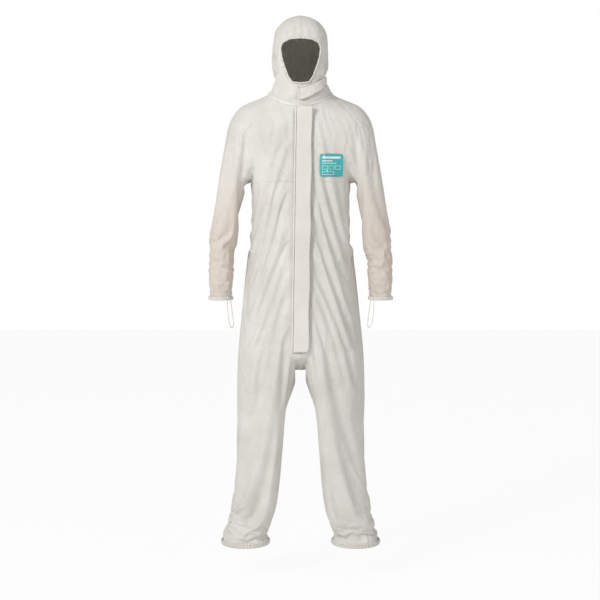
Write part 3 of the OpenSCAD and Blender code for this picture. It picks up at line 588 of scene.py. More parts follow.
turquoisePrint = printedMaterial("screen_printed_turquoise", "#3FB4B8", "#38A8AD")
whitePrint = printedMaterial("screen_printed_white", "#EDF3F2", "#DDE8E7")
# Its second colour is the painted shade for the grooves between the ribs
satinTape = ribbedMaterial("woven_satin_label", "#F3F3F1", "#E4E4E1", 0.0007, 0.45)
stripFilm = printedMaterial("release_paper_strip", "#EFEBDF", "#E6E1D3")

# ---------- the garment is cut into its panels

cutPlanes = {
    "neck": (Vector((0, -0.098, place["neckFrontZ"] + 0.001)), Vector((0, -0.0355, 0.184)).normalized()),
    "hip": (Vector((0, 0, place["hipZ"] - 0.045)), math.radians(20)),
    "midThigh": place["hipZ"] - 0.20,
    "midArm": place["armpitZ"] - 0.069,
}
panelThickness = 0.0008


def hipNormal(sign):
    lean = cutPlanes["hip"][1]
    return Vector((sign * math.sin(lean), 0, -math.cos(lean)))


def panelOf(c, index):
    if index:
        side = "left" if index == 1 else "right"
        return ("sleeve_top_" if c.z > cutPlanes["midArm"] else "sleeve_low_") + side
    side, sign = ("left", 1) if c.x > 0 else ("right", -1)
    neckCo, neckNo = cutPlanes["neck"]
    if (c - neckCo).dot(neckNo) > 0:
        return "hood_" + side
    front = "front_" if c.y < 0 else "back_"
    if (c - cutPlanes["hip"][0]).dot(hipNormal(sign)) > 0:
        return ("leg_top_" if c.z > cutPlanes["midThigh"] else "leg_low_") + front + side
    level = "upper" if c.z > place["chestSeamZ"] else "lower"
    return front + level + ("_" + side if c.y < 0 else "")


def cutPanels(obj):
    bm = bmesh.new()
    bm.from_mesh(obj.data)
    bmesh.ops.recalc_face_normals(bm, faces=bm.faces)
    neckCo, neckNo = cutPlanes["neck"]

    def slice(co, no, inside):
        faces = [f for f in bm.faces if inside(f.calc_center_median(), f.material_index)]
        geom = {v for f in faces for v in f.verts} | {e for f in faces for e in f.edges}
        bmesh.ops.bisect_plane(bm, geom=list(geom) + faces, plane_co=co, plane_no=no)

    slice(neckCo, neckNo, lambda c, m: not m and abs((c - neckCo).dot(neckNo)) < 0.03)
    slice((0, 0, place["chestSeamZ"]), (0, 0, 1), lambda c, m: not m and abs(c.z - place["chestSeamZ"]) < 0.02)
    slice((0, 0, cutPlanes["midArm"]), (0, 0, 1), lambda c, m: m and abs(c.z - cutPlanes["midArm"]) < 0.02)
    slice((0, 0, cutPlanes["midThigh"]), (0, 0, 1), lambda c, m: not m and abs(c.z - cutPlanes["midThigh"]) < 0.02)
    for sign in (1, -1):
        slice(cutPlanes["hip"][0], hipNormal(sign), lambda c, m: not m and c.x * sign > -0.01
              and abs((c - cutPlanes["hip"][0]).dot(hipNormal(sign))) < 0.02)
    slice((0, 0, 0), (1, 0, 0), lambda c, m: not m and abs(c.x) < 0.02
          and (c.y < 0.01 or c.z > -0.02 or c.z < place["hipZ"] - 0.02))
    slice((0, 0, 0), (0, 1, 0), lambda c, m: not m and abs(c.y) < 0.02 and (c - neckCo).dot(neckNo) < 0.005)
    bm.normal_update()
    bm.verts.index_update()
    points = np.array([v.co for v in bm.verts])
    normals = np.array([v.normal for v in bm.verts])
    panels = {}
    for f in bm.faces:
        panels.setdefault(panelOf(f.calc_center_median(), f.material_index), []).append(
            [v.index for v in f.verts])
    made = {}
    for name, faces in sorted(panels.items()):
        used = sorted({i for f in faces for i in f})
        where = {old: new for new, old in enumerate(used)}
        outer, out = points[used], normals[used]
        count = len(used)
        sheet = [[where[i] for i in f] for f in faces]
        edges = {}
        for f in sheet:
            for a, b in zip(f, f[1:] + f[:1]):
                edges[(a, b)] = True
        rims = [(b, a, a + count, b + count) for a, b in edges if (b, a) not in edges]
        panel = meshObject(name, np.concatenate([outer, outer - out * panelThickness]),
                           sheet + [[i + count for i in f[::-1]] for f in sheet] + rims)
        panel.data.polygons.foreach_set("use_smooth", [True] * len(panel.data.polygons))
        panel.data.normals_split_custom_set_from_vertices(
            [tuple(n) for n in np.concatenate([out, -out])])
        made[name] = panel
    bm.free()
    return made


print("panels")
panels = cutPanels(garment)
bpy.data.objects.remove(garment)


def treeOf(names):
    verts, faces = [], []
    for name in names:
        base = len(verts)
        mesh = panels[name].data
        half = len(mesh.vertices) // 2
        verts += [v.co.copy() for v in mesh.vertices[:half]]
        faces += [[base + i for i in p.vertices] for p in mesh.polygons if max(p.vertices) < half]
    return BVHTree.FromPolygons(verts, faces)


trunk = treeOf([n for n in panels if "sleeve" not in n])


def onCloth(origin, direction, tree=None, lift=0.0):
    spot, normal, _, _ = (tree or trunk).ray_cast(Vector(origin), Vector(direction).normalized())
    if spot is None:
        return None
    if normal.dot(Vector(direction)) > 0:
        normal = -normal
    return spot + normal * lift


jointAt = {n: Vector(j.get("pos_m") or (0, 0, 0)) for n, j in joints.items()}
bends = {}
for side, sign in bothSides:
    armhole, elbow = jointAt["shoulder_" + side], jointAt["elbow_" + side]
    knee = jointAt["knee_" + side]
    out = Vector((sign * 0.72, 0, -0.69))
    bends["sleeve_top_" + side] = ("torso", "upper_sleeve_" + side, armhole - out * 0.02, armhole + out * 0.09)
    bends["sleeve_low_" + side] = ("upper_sleeve_" + side, "fore_sleeve_" + side,
                                   elbow + Vector((0, 0, 0.075)), elbow - Vector((0, 0, 0.075)))
    hipCo, down = cutPlanes["hip"][0], hipNormal(sign)
    bends["leg_top_" + side] = ("torso", "thigh_" + side, hipCo + down * 0.002, hipCo + down * 0.125)
    bends["leg_low_" + side] = ("thigh_" + side, "shin_" + side,
                                knee + Vector((0, 0, 0.07)), knee - Vector((0, 0, 0.07)))
neckCo, neckUp = cutPlanes["neck"]
neckMiddle = neckCo + Vector((0, 0.092, 0.0178))
bends["hood_"] = ("torso", "hood", neckMiddle + neckUp * 0.006, neckMiddle + neckUp * 0.062)


def hang(obj, name):
    for key, (a, b, start, end) in bends.items():
        kind, side = key.rsplit("_", 1)
        if name.startswith(kind) and (not side or name.endswith(side)):
            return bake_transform(obj)
    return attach(obj, "torso")


# The size each panel is cut to, flat: girths come from the frame's own levels and lengths run from
# seam to seam, both with the ease that such garments are cut with. None is read off the draped cloth.
cutEase = 1.04


def girth(names, z):
    ring = levelRing(trianglesOf(names), z)
    return float(np.linalg.norm(ring - np.roll(ring, -1, axis=0), axis=1).sum())


def cutOf(names, levels, share):
    around = [girth(names, z) * share for z in np.linspace(levels[0], levels[1], 5)]
    width = max(around) * cutEase
    length = abs(levels[0] - levels[1]) * cutEase
    return (width, length), float(np.mean(around) / max(around)) * width * length


stands = {
    "front_upper_left": ["front_upper_left"], "front_upper_right": ["front_upper_right"],
    "front_lower_left": ["front_lower_left"], "front_lower_right": ["front_lower_right"],
    "back_upper": ["back_upper"], "back_lower": ["back_lower", "crotch_gusset"],
    "hood_left": ["hood_left", "hood_neck_fold"], "hood_right": ["hood_right"],
}
for side, _ in bothSides:
    stands["sleeve_top_" + side] = ["shoulder_fold_" + side, "sleeve_upper_" + side]
    stands["sleeve_low_" + side] = ["elbow_fold_" + side, "sleeve_lower_" + side]
    stands["leg_top_front_" + side] = ["leg_upper_front_" + side, "hip_fold_" + side]
    stands["leg_top_back_" + side] = ["leg_upper_back_" + side]
    stands["leg_low_front_" + side] = ["leg_lower_front_" + side, "knee_fold_" + side]
    stands["leg_low_back_" + side] = ["leg_lower_back_" + side]
hoodTop, hoodFoot = hoodHigh[2] - 0.004, place["neckFrontZ"] + 0.045
legTopZ = place["hipZ"] - 0.004


def cutFor(name):
    side = name.rsplit("_", 1)[-1]
    if name.startswith("hood"):
        return cutOf(headNodes, (hoodTop, hoodFoot), 0.5)
    if name.startswith("sleeve_top"):
        # a sleeve's cap is a bell above the widest line of its cut, and fills about 0.6 of its box
        width = girth(sleeveNodes(side), place["armpitZ"] - 0.006) * cutEase
        cap, below = place["armpitZ"] * -cutEase - 0.02, (place["armpitZ"] - cutPlanes["midArm"]) * cutEase
        return (width, cap + below), width * (0.6 * cap + below)
    if name.startswith("sleeve_low"):
        return cutOf(sleeveNodes(side), (cutPlanes["midArm"], place["cuffZ"] + 0.002), 1.0)
    if name.startswith("leg_top"):
        return cutOf(legNodes(side), (legTopZ, cutPlanes["midThigh"]), 0.5)
    if name.startswith("leg_low"):
        return cutOf(legNodes(side), (cutPlanes["midThigh"], place["hemZ"] + 0.002), 0.5)
    share = 0.5 if name.startswith("back") else 0.25
    if "upper" in name:
        return cutOf(bodyNodes, (-0.035, place["chestSeamZ"]), share)
    return cutOf(bodyNodes, (place["chestSeamZ"], place["hipZ"] + 0.004), share)


for name, panel in panels.items():
    panel.data.materials.append(nonwovenSleeve if "sleeve" in name else nonwoven)
    hang(panel, name)
    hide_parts(*stands[name])
    flat, area = cutFor(name)
    side = name.rsplit("_", 1)[-1]
    cloth = sum(p.area for p in panel.data.polygons) / 2
    print("cut", name, "%.3f x %.3f m, %.3f m2, cloth now %.2f of it" % (*flat, area, cloth / area))


def gridObject(name, grid, material, thick, closed=False, wrap=False):
    rows, cols = grid.shape[:2]
    flat = grid.reshape(-1, 3)
    faces = []
    for i in range(rows if wrap else rows - 1):
        for j in range(cols if closed else cols - 1):
            a, b = i * cols + j, i * cols + (j + 1) % cols
            c, d = ((i + 1) % rows) * cols + (j + 1) % cols, ((i + 1) % rows) * cols + j
            faces.append((a, b, c, d))
    obj = meshObject(name, flat, faces)
    if thick:
        solid = obj.modifiers.new("thickness", "SOLIDIFY")
        solid.thickness = thick
        solid.offset = -1
        baked(obj)
    obj.data.polygons.foreach_set("use_smooth", [True] * len(obj.data.polygons))
    obj.data.materials.append(material)
    return obj


def outwards(obj):
    bm = bmesh.new()
    bm.from_mesh(obj.data)
    bmesh.ops.recalc_face_normals(bm, faces=bm.faces)
    bm.to_mesh(obj.data)
    bm.free()
    return obj


def sweep(name, path, across, width, thick, material, closed=False, swell=None, sides=10):
    path = np.array(path, float)
    ahead = np.roll(path, -1, 0) - np.roll(path, 1, 0) if closed else np.gradient(path, axis=0)
    ahead /= np.linalg.norm(ahead, axis=1)[:, None]
    side = np.broadcast_to(np.array(across, float), path.shape)
    side = side - ahead * (side * ahead).sum(1)[:, None]
    side /= np.linalg.norm(side, axis=1)[:, None]
    up = np.cross(ahead, side)
    turn = np.linspace(0, 2 * math.pi, sides, endpoint=False)
    grow = np.ones(len(path)) if swell is None else swell
    c, s_ = np.cos(turn), np.sin(turn)
    c, s_ = np.sign(c) * np.abs(c) ** 0.6, np.sign(s_) * np.abs(s_) ** 0.8
    ring = (path[:, None] + side[:, None] * (c * width / 2)[None, :, None] * grow[:, None, None]
            + up[:, None] * (s_ * thick / 2)[None, :, None] * grow[:, None, None])
    obj = gridObject(name, ring, material, 0, closed=True, wrap=closed)
    if not closed:
        bm = bmesh.new()
        bm.from_mesh(obj.data)
        bmesh.ops.holes_fill(bm, edges=[e for e in bm.edges if e.is_boundary], sides=0)
        bm.to_mesh(obj.data)
        bm.free()
    return outwards(obj)


def repeatTree(name, aligned):
    tree = bpy.data.node_groups.new(name, "GeometryNodeTree")
    face = tree.interface
    face.new_socket("Geometry", in_out="INPUT", socket_type="NodeSocketGeometry")
    for socket in ("Pitch", "Length", "Width", "Thick"):
        face.new_socket(socket, in_out="INPUT", socket_type="NodeSocketFloat")
    face.new_socket("Finish", in_out="INPUT", socket_type="NodeSocketMaterial")
    face.new_socket("Geometry", in_out="OUTPUT", socket_type="NodeSocketGeometry")
    given = tree.nodes.new("NodeGroupInput").outputs
    spine = node(tree, "GeometryNodeMeshToCurve", Mesh=given["Geometry"])
    spots = node(tree, "GeometryNodeCurveToPoints", {"mode": "LENGTH"}, Curve=spine.outputs[0],
                 Length=given["Pitch"])
    bead = node(tree, "GeometryNodeMeshUVSphere", {"Segments": 6, "Rings": 4, "Radius": 0.5})
    size = node(tree, "ShaderNodeCombineXYZ", X=given["Width"], Y=given["Thick"], Z=given["Length"])
    shaped = node(tree, "GeometryNodeTransform", Geometry=bead.outputs[0], Scale=size.outputs[0])
    copies = node(tree, "GeometryNodeInstanceOnPoints", Points=spots.outputs["Points"],
                  Instance=shaped.outputs[0])
    if aligned:
        lay = node(tree, "FunctionNodeAlignRotationToVector", {"axis": "Z"}, Vector=spots.outputs["Tangent"])
        tree.links.new(lay.outputs[0], copies.inputs["Rotation"])
    real = node(tree, "GeometryNodeRealizeInstances", Geometry=copies.outputs[0])
    painted = node(tree, "GeometryNodeSetMaterial", Geometry=real.outputs[0], Material=given["Finish"])
    tree.links.new(painted.outputs[0], tree.nodes.new("NodeGroupOutput").inputs[0])
    return tree


stitchTree, toothTree = repeatTree("stitches", True), repeatTree("teeth", False)


def repeated(name, path, tree, pitch, length, width, thick, material):
    obj = meshObject(name, path, [])
    obj.data.clear_geometry()
    obj.data.from_pydata([tuple(p) for p in path], [(i, i + 1) for i in range(len(path) - 1)], [])
    modifier = obj.modifiers.new("repeat", "NODES")
    modifier.node_group = tree
    values = {"Pitch": pitch, "Length": length, "Width": width, "Thick": thick, "Finish": material}
    for socket in tree.interface.items_tree:
        if socket.in_out == "INPUT" and socket.name in values:
            modifier[socket.identifier] = values[socket.name]
    baked(obj)
    obj.data.polygons.foreach_set("use_smooth", [True] * len(obj.data.polygons))
    return obj


def stripBetween(name, nodeName, material, thick, rows=120, cols=8, ripple=0.0):
    points = pointsOf(frame["nodes"][nodeName].data)
    low, high = points[:, 2].min(), points[:, 2].max()
    top, foot = points[points[:, 2] > high - 0.01], points[points[:, 2] < low + 0.01]
    grid = []
    for v in np.linspace(0, 1, rows):
        ends = [(1 - v) * pick(top) + v * pick(foot) for pick in (lambda p: p[:, 0].min(),
                                                                  lambda p: p[:, 0].max())]
        u = np.linspace(0, 1, cols)
        y = (1 - v) * top[:, 1].min() + v * foot[:, 1].min()
        wave = ripple * np.sin(40 * v + 3 * u) * np.sin(math.pi * u)
        grid.append(np.stack([ends[0] + (ends[1] - ends[0]) * u, y + wave * 0.5 + 0 * u,
                              np.full_like(u, high + v * (low - high))], 1))
    return outwards(gridObject(name, np.array(grid), material, thick))


def softCopy(nodeName, name, material, voxel, smooth=4, ripple=0.0):
    obj = bpy.data.objects.new(name, frame["nodes"][nodeName].data.copy())
    scene.collection.objects.link(obj)
    obj.data.materials.clear()
    remesh = obj.modifiers.new("remesh", "REMESH")
    remesh.mode = "VOXEL"
    remesh.voxel_size = voxel
    obj.modifiers.new("smooth", "SMOOTH").iterations = smooth
    baked(obj)
    if ripple:
        co = pointsOf(obj.data)
        wave = np.sin(co[:, 0] * 210 + 1.3) * np.sin(co[:, 2] * 170 + 0.4)
        co[:, 1] -= ripple * (0.5 + 0.5 * wave)
        obj.data.vertices.foreach_set("co", co.ravel())
    obj.data.polygons.foreach_set("use_smooth", [True] * len(obj.data.polygons))
    obj.data.materials.append(material)
    return obj


print("elastic edges")
# Elastic drawn through a folded hem gathers the cloth into small even tucks
bandSettings = {
    "cuff": {"tucks": 34, "deep": 0.0016, "thick": 0.0022, "out": 0.0008},
    "hem": {"tucks": 46, "deep": 0.0018, "thick": 0.0024, "out": 0.0008},
}


def gatheredBand(name, nodeName, kind, body, replaced):
    b = bandSettings[kind]
    low, high = boxOf(nodeName)
    tris = trianglesOf([nodeName])
    turns = np.linspace(-math.pi, math.pi, 180, endpoint=False)
    middle = levelRing(tris, (low[2] + high[2]) / 2)
    centre = middle.mean(0)
    reach = np.hypot(*(middle - centre)[:, :2].T)
    base = np.interp(turns, np.arctan2(*(middle - centre)[:, 1::-1].T), reach, period=2 * math.pi)
    rows = []
    for v in np.linspace(0, 1, 9):
        crown = math.sin(math.pi * v) ** 0.5
        tuck = np.sin(b["tucks"] * turns + 0.9 * np.sin(3 * turns) + 1.4 * v)
        radius = base + b["out"] + 0.0012 * crown + b["deep"] * tuck * (0.35 + 0.65 * crown)
        rows.append(np.stack([centre[0] + radius * np.cos(turns), centre[1] + radius * np.sin(turns),
                              np.full_like(turns, low[2] + v * (high[2] - low[2]))], 1))
    obj = gridObject(name, np.array(rows), nonwoven, b["thick"], closed=True)
    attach(outwards(obj), body)
    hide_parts(*replaced)
    line = np.array(rows[6]) + (np.array(rows[6]) - centre) * [0.012, 0.012, 0]
    thread = repeated(name + "_stitches", np.vstack([line, line[:1]]), stitchTree, 0.0034, 0.0026, 0.0007,
                      0.0007, sewingThread)
    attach(thread, body)
    return obj


for side, sign in bothSides:
    gatheredBand("cuffBand_" + side, "cuff_hem_" + side, "cuff", "fore_sleeve_" + side,
                 ["cuff_hem_" + side])
    gatheredBand("hemBand_" + side, "leg_hem_" + side, "hem", "shin_" + side, ["leg_hem_" + side])
    for kind, body in (("cuff_elastic_", "fore_sleeve_"), ("leg_elastic_", "shin_")):
        inner = softCopy(kind + side, kind + "braid_" + side, braidedElastic, 0.0016, 2)
        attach(inner, body + side)
        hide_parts(kind + side)

faceCentre = np.array([faceMeasure(faceTris[:, i]) for i in range(3)]).T
smoothTurns = np.linspace(-math.pi, math.pi, 420, endpoint=False)
facePath = np.stack([np.interp(smoothTurns, faceTurns, faceCentre[:, i], period=2 * math.pi)
                     for i in range(3)], 1)
faceSwell = 1 + 0.13 * np.sin(74 * smoothTurns + 0.8 * np.sin(5 * smoothTurns))
roll = sweep("faceRoll", facePath, (0, 1, 0), 0.0085, 0.0055, nonwoven, closed=True, swell=faceSwell)
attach(roll, "hood")
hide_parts("face_elastic")


print("flaps and zip")
# The storm flap is a doubled strip, a little wavy between its stitches
# and flat beside its sewn edge, so that it folds back over its root without cutting it
flapWave = {"out": 0.0022, "edge": 0.0011, "rows": 150, "cols": 14, "flatShare": 0.16}
flapNode = pointsOf(frame["nodes"]["storm_flap"].data)
flapTop = flapNode[flapNode[:, 2] > flapHigh[2] - 0.02]
flapFoot = flapNode[flapNode[:, 2] < flapLow[2] + 0.02]
rows = []
for v in np.linspace(0, 1, flapWave["rows"]):
    left = (1 - v) * flapTop[:, 0].min() + v * flapFoot[:, 0].min()
    right = (1 - v) * flapTop[:, 0].max() + v * flapFoot[:, 0].max()
    z = flapHigh[2] + v * (flapLow[2] - flapHigh[2])
    front = (1 - v) * flapTop[:, 1].min() + v * flapFoot[:, 1].min()
    u = np.linspace(0, 1, flapWave["cols"])
    corner = 0.012 * max(0.0, 1 - (1 - v) * 830 / 12) ** 2
    x = left + (right - left - corner) * u + flapWave["edge"] * u ** 3 * math.sin(27 * v + 1) * 1.2
    puff = flapWave["out"] * (0.5 + 0.5 * np.sin(36 * v + 2.2 * u + 0.7 * math.sin(11 * v)))
    puff = puff * np.clip((u - flapWave["flatShare"]) / (1 - flapWave["flatShare"]), 0, 1)
    rows.append(np.stack([x, front - puff, np.full_like(u, z)], 1))
flapGrid = np.array(rows)
flap = outwards(gridObject("stormFlapCloth", flapGrid, flapCloth, 0.0014))
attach(flap, "storm_flap")
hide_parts("storm_flap")
for number, share in enumerate((0.10, 0.30)):
    line = flapGrid[2:-2].transpose(1, 0, 2)
    column = flapGrid[2:-2, 0] + (flapGrid[2:-2, -1] - flapGrid[2:-2, 0]) * share
    spot = int(share * (flapWave["cols"] - 1))
    column[:, 1] = flapGrid[2:-2, spot, 1] - 0.0002
    thread = repeated("flapStitches_%d" % number, column, stitchTree, 0.0036, 0.0028, 0.0008, 0.0008,
                      sewingThread)
    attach(thread, "storm_flap")
for nodeName, name, material, voxel, body, slotName, ripple in (
        ("storm_flap_root", "flapRootFold", flapCloth, 0.0016, "torso", "flap_cloth", 0.0),
        ("chin_flap_root", "chinRootFold", flapCloth, 0.0009, "hood", "flap_cloth", 0.0),
        ("chin_flap", "chinFlapCloth", flapCloth, 0.0009, "chin_flap", "flap_cloth", 0.0008),
        ("chin_flap_tape", "chinStrip", stripFilm, 0.0003, "chin_flap", "adhesive_liner", 0.0),
        ("size_label", "sizeLabel", satinTape, 0.0006, "torso", "size_label", 0.0004)):
    piece = softCopy(nodeName, name, material, voxel, 3, ripple)
    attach(piece, body)
    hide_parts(nodeName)

strip = stripBetween("flapStrip", "storm_flap_tape", stripFilm, 0.0005)
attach(strip, "storm_flap")
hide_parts("storm_flap_tape")

for side, sign in bothSides:
    points = pointsOf(frame["nodes"]["zip_teeth_" + side].data)
    low, high = points.min(0), points.max(0)
    ends = [points[points[:, 2] > high[2] - 0.01].mean(0), points[points[:, 2] < low[2] + 0.01].mean(0)]
    teeth = repeated("zipCoil_" + side, ends, toothTree, 0.0021, 0.0013,
                     float(np.ptp(points[points[:, 2] > high[2] - 0.01][:, 0])), 0.0022, mouldedZip)
    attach(teeth, "torso")
    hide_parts("zip_teeth_" + side)
    tape = stripBetween("zipTape_" + side, "zip_tape_" + side, wovenTape, 0.0006, ripple=0.0003)
    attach(tape, "torso")
    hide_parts("zip_tape_" + side)
for nodeName, body in (("zip_slider", "zip_slider"), ("zip_pull", "zip_slider"), ("zip_bottom_stop", "torso")):
    metal = bpy.data.objects.new(nodeName + "_metal", frame["nodes"][nodeName].data.copy())
    scene.collection.objects.link(metal)
    metal.data.materials.clear()
    metal.data.materials.append(enamel)
    bevel = metal.modifiers.new("bevel", "BEVEL")
    bevel.width, bevel.segments = 0.0005, 3
    baked(metal)
    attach(metal, body)
    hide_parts(nodeName)


print("chest label")
# A printed square with generic bars and blank frames, laid on the cloth as it hangs
labelLow, labelHigh = boxOf("chest_label")
labelMarks = [(0.10, 0.78, 0.80, 0.09), (0.10, 0.66, 0.46, 0.045), (0.10, 0.57, 0.62, 0.03)]
labelFrames = [(0.10 + 0.285 * i, 0.32, 0.23, 0.16) for i in range(3)] + [(0.10, 0.09, 0.515, 0.14)]


labelGrid = np.array([[(onCloth((x, -0.6, z), (0, 1, 0)) or Vector((0, labelLow[1], 0))).y
                       for x in np.linspace(labelLow[0], labelHigh[0], 9)]
                      for z in np.linspace(labelLow[2], labelHigh[2], 9)])
for _ in range(2):
    padded = np.pad(labelGrid, 1, mode="edge")
    around = sum(padded[1 + i:10 + i, 1 + j:10 + j] for i in (-1, 0, 1) for j in (-1, 0, 1)) / 9
    labelGrid = np.minimum(labelGrid, around)


def labelDepth(x, z):
    u = np.clip((x - labelLow[0]) / (labelHigh[0] - labelLow[0]), 0, 1) * 8
    v = np.clip((z - labelLow[2]) / (labelHigh[2] - labelLow[2]), 0, 1) * 8
    i, j = int(min(v, 7.999)), int(min(u, 7.999))
    rows = labelGrid[i:i + 2, j] * (1 - (u - j)) + labelGrid[i:i + 2, j + 1] * (u - j)
    return float(rows[0] * (1 - (v - i)) + rows[1] * (v - i))


def labelPatch(name, x0, z0, wide, tall, lift, material, round_=0.0, step=0.0025):
    cols, count = max(3, int(wide / step)), max(3, int(tall / step))
    grid = np.zeros((count + 1, cols + 1, 3))
    for i in range(count + 1):
        for j in range(cols + 1):
            u, v = j / cols * 2 - 1, i / count * 2 - 1
            pull = 1 - round_ * (u * u * v * v)
            x, z = x0 + wide * (0.5 + 0.5 * u * pull), z0 + tall * (0.5 + 0.5 * v * pull)
            grid[i, j] = (x, labelDepth(x, z) - lift, z)
    obj = outwards(gridObject(name, grid, material, 0.0004))
    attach(obj, "torso")
    return obj


labelSize = labelHigh - labelLow
label = labelPatch("labelPatch", labelLow[0], labelLow[2], labelSize[0], labelSize[2], 0.0010,
                   turquoisePrint, 0.05)
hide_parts("chest_label")
for number, (u, v, wide, tall) in enumerate(labelMarks):
    labelPatch("labelBar_%d" % number, labelLow[0] + u * labelSize[0], labelLow[2] + v * labelSize[2],
               wide * labelSize[0], tall * labelSize[2], 0.0014, whitePrint)
for number, (u, v, wide, tall) in enumerate(labelFrames):
    x0, z0 = labelLow[0] + u * labelSize[0], labelLow[2] + v * labelSize[2]
    w, h, edge = wide * labelSize[0], tall * labelSize[2], 0.0012
    for part, box in enumerate(((x0, z0, w, edge), (x0, z0 + h - edge, w, edge), (x0, z0, edge, h),
                                (x0 + w - edge, z0, edge, h))):
        labelPatch("labelFrame_%d_%d" % (number, part), *box, 0.0014, whitePrint)


print("seams")
# A serged seam is a low ridge of doubled cloth with thread laid along it
seamSettings = {"wide": 0.0034, "high": 0.0016, "pitch": 0.0034, "stitch": 0.0026, "thread": 0.0008}


def seam(name, hits, panelName, across=(0, 0, 1), double=False):
    hits = [h for h in hits if h is not None]
    if len(hits) < 4:
        return
    path = np.array([tuple(h) for h in hits])
    for _ in range(2):
        path[1:-1] = (path[:-2] + 2 * path[1:-1] + path[2:]) / 4
    b = seamSettings
    ridge = sweep(name, path, across, b["wide"], b["high"], nonwoven)
    hang(ridge, panelName)
    for number, shift in enumerate((-0.5, 0.5) if double else (0,)):
        line = path + np.array(across) * b["wide"] * 0.55 * shift
        line = line + np.array(Vector(line.mean(0) - [0, 0.0, line.mean(0)[2]]).normalized()) * b["high"] * 0.5
        thread = repeated("%s_stitches_%d" % (name, number), line, stitchTree, b["pitch"], b["stitch"],
                          b["thread"], b["thread"], sewingThread)
        hang(thread, panelName)


neckTris = trianglesOf(["neck_seam_tape"]).reshape(-1, 3)
neckTurn = np.arctan2(neckTris[:, 1], neckTris[:, 0])
neckHits = []
for turn in np.linspace(-math.pi, math.pi, 121):
    near = np.exp(-(np.angle(np.exp(1j * (neckTurn - turn))) / 0.10) ** 2)
    z = float(np.average(neckTris[:, 2], weights=near))
    out = Vector((math.cos(turn), math.sin(turn), 0))
    neckHits.append(onCloth(out * 0.5 + Vector((0, 0, z)), -out, lift=0.0006))
neckHits = [h for h in neckHits if h is not None]
neckLine = np.array([tuple(h) for h in neckHits])
for _ in range(3):
    neckLine = (np.roll(neckLine, 1, 0) + 2 * neckLine + np.roll(neckLine, -1, 0)) / 4
binding = sweep("neckBinding", neckLine[:-1], (0, 0, 1), 0.0062, 0.0018, wovenTape, closed=True)
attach(binding, "torso")
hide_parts("neck_seam_tape")
for number, shift in enumerate((-0.0021, 0.0021)):
    away = neckLine - neckLine.mean(0)
    away[:, 2] = 0
    line = neckLine + away / np.linalg.norm(away, axis=1)[:, None] * 0.0010 + [0, 0, shift]
    thread = repeated("neckStitches_%d" % number, line, stitchTree, 0.0034, 0.0026, 0.0008, 0.0008,
                      sewingThread)
    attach(thread, "torso")

waistHits = [onCloth((0.6 * math.cos(a), 0.6 * math.sin(a), place["waistZ"]), (-math.cos(a), -math.sin(a), 0),
                     lift=0.0004) for a in np.linspace(0.16, math.pi - 0.16, 170)]
waistLine = np.array([tuple(h) for h in waistHits if h is not None and abs(h.x) < 0.2])
waistTucks = 1 + 0.22 * np.sin(np.arange(len(waistLine)) * 1.9)
band = sweep("waistBand", waistLine, (0, 0, 1), 0.012, 0.0022, braidedElastic, swell=waistTucks)
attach(band, "torso")
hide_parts("waist_elastic")

bustZ = place["chestSeamZ"]
for side, sign in bothSides:
    xs = np.linspace(0.046 if sign > 0 else 0.008, 0.168, 60) * sign
    seam("chestSeam_" + side, [onCloth((x, -0.6, bustZ), (0, 1, 0), lift=0.0004) for x in xs], "front_upper")
seam("backSeam", [onCloth((x, 0.6, bustZ), (0, -1, 0), lift=0.0004) for x in np.linspace(-0.165, 0.165, 110)],
     "back_upper")
crown = [onCloth((0, 0.03 + 0.6 * math.cos(a), 0.12 + 0.6 * math.sin(a)),
                 (0, -math.cos(a), -math.sin(a)), lift=0.0003) for a in np.linspace(-0.1, 2.35, 110)]
seam("hoodSeam", crown, "hood_left", across=(1, 0, 0))
crotchZ = place["hipZ"]
seam("centreSeam", [onCloth((0, -0.6, z), (0, 1, 0), lift=0.0003)
                    for z in np.linspace(flapLow[2] - 0.004, crotchZ - 0.03, 14)], "front_lower", across=(1, 0, 0))


print("thumb loops")
# Flat braided elastic sewn into the cuff at both ends, hanging free
loopRoute = [(-24, -29, 0), (-24, -30, -9), (-24, -33, -22), (-25, -36, -38), (-27, -38, -54),
             (-29, -38, -69), (-32, -35, -82), (-35, -29, -90), (-39, -22, -93), (-42, -15, -90),
             (-43, -10, -81), (-42, -8, -67), (-40, -8, -51), (-38, -10, -35), (-36, -12, -20),
             (-35, -14, -8), (-34, -15, 0)]
for side, sign in bothSides:
    centre = np.array([sign * place["cuffX"], 0, place["cuffZ"]])
    path = np.array(loopRoute) / 1000 * [sign, 1, 1] + centre
    fine = np.stack([np.interp(np.linspace(0, 16, 97), range(17), path[:, i]) for i in range(3)], 1)
    for _ in range(6):
        fine[1:-1] = (fine[:-2] + 2 * fine[1:-1] + fine[2:]) / 4
    loop = sweep("thumbLoop_" + side, fine, (0.3, 1, 0), 0.0042, 0.0016, braidedElastic, sides=12)
    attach(loop, "fore_sleeve_" + side)
    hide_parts("thumb_loop_" + side)


# Camera, floor and light
groundZ = place["hemZ"] - 0.108
cameraData = bpy.data.cameras.new("camera")
cameraData.lens = 81
camera = bpy.data.objects.new("camera", cameraData)
scene.collection.objects.link(camera)
camera.location = (-0.002, -4.5, -0.35)
aim = Vector((-0.002, 0, -0.668))
camera.rotation_euler = (aim - camera.location).to_track_quat("-Z", "Y").to_euler()
scene.camera = camera

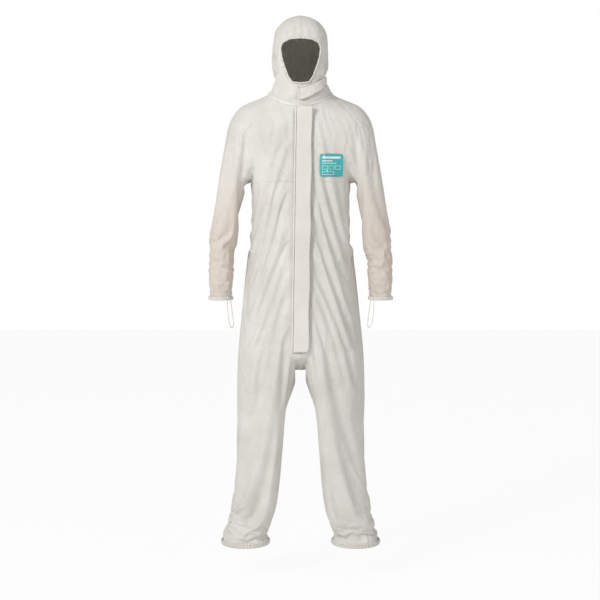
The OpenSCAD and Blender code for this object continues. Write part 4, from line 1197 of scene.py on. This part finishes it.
floor = meshObject("floor", [(-9, -9, groundZ), (9, -9, groundZ), (9, 9, groundZ), (-9, 9, groundZ)],
                   [(0, 1, 2, 3)])
floorPaint = bpy.data.materials.new("matt_white_paper")
floorPaint.use_nodes = True
floorPaint.node_tree.nodes["Principled BSDF"].inputs["Base Color"].default_value = srgb("#FBFBFA")
floorPaint.node_tree.nodes["Principled BSDF"].inputs["Roughness"].default_value = 0.9
paper = floorPaint.node_tree
viewed = node(paper, "ShaderNodeLightPath")
lift = node(paper, "ShaderNodeEmission", {"Color": (1, 1, 1, 1), "Strength": 1.0})
washed = node(paper, "ShaderNodeMath", {"operation": "MULTIPLY", 1: 0.93}, i0=viewed.outputs["Is Camera Ray"])
sheet = node(paper, "ShaderNodeMixShader", i0=washed.outputs[0],
             i1=paper.nodes["Principled BSDF"].outputs[0], i2=lift.outputs[0])
paper.links.new(sheet.outputs[0], paper.nodes["Material Output"].inputs["Surface"])
floor.data.materials.append(floorPaint)


def areaLamp(name, location, size, power):
    data = bpy.data.lights.new(name, "AREA")
    data.shape = "DISK"
    data.size = size
    data.energy = power
    lamp = bpy.data.objects.new(name, data)
    scene.collection.objects.link(lamp)
    lamp.location = location
    lamp.rotation_euler = (Vector((0, 0, -0.7)) - lamp.location).to_track_quat("-Z", "Y").to_euler()
    return lamp


areaLamp("keyLamp", (-2.6, -3.0, 1.6), 1.3, 112)
areaLamp("fillLamp", (2.8, -2.6, 0.6), 2.2, 24)
world = bpy.data.worlds.new("world")
world.use_nodes = True
sky = world.node_tree
sky.nodes["Background"].inputs["Color"].default_value = (1, 1, 1, 1)
sky.nodes["Background"].inputs["Strength"].default_value = 0.46
white = node(sky, "ShaderNodeBackground", {"Color": (1, 1, 1, 1), "Strength": 1.0})
seen = node(sky, "ShaderNodeLightPath")
choose = node(sky, "ShaderNodeMixShader", i0=seen.outputs["Is Camera Ray"],
              i1=sky.nodes["Background"].outputs[0], i2=white.outputs[0])
sky.links.new(choose.outputs[0], sky.nodes["World Output"].inputs["Surface"])
scene.world = world
scene.view_settings.view_transform = "Standard"
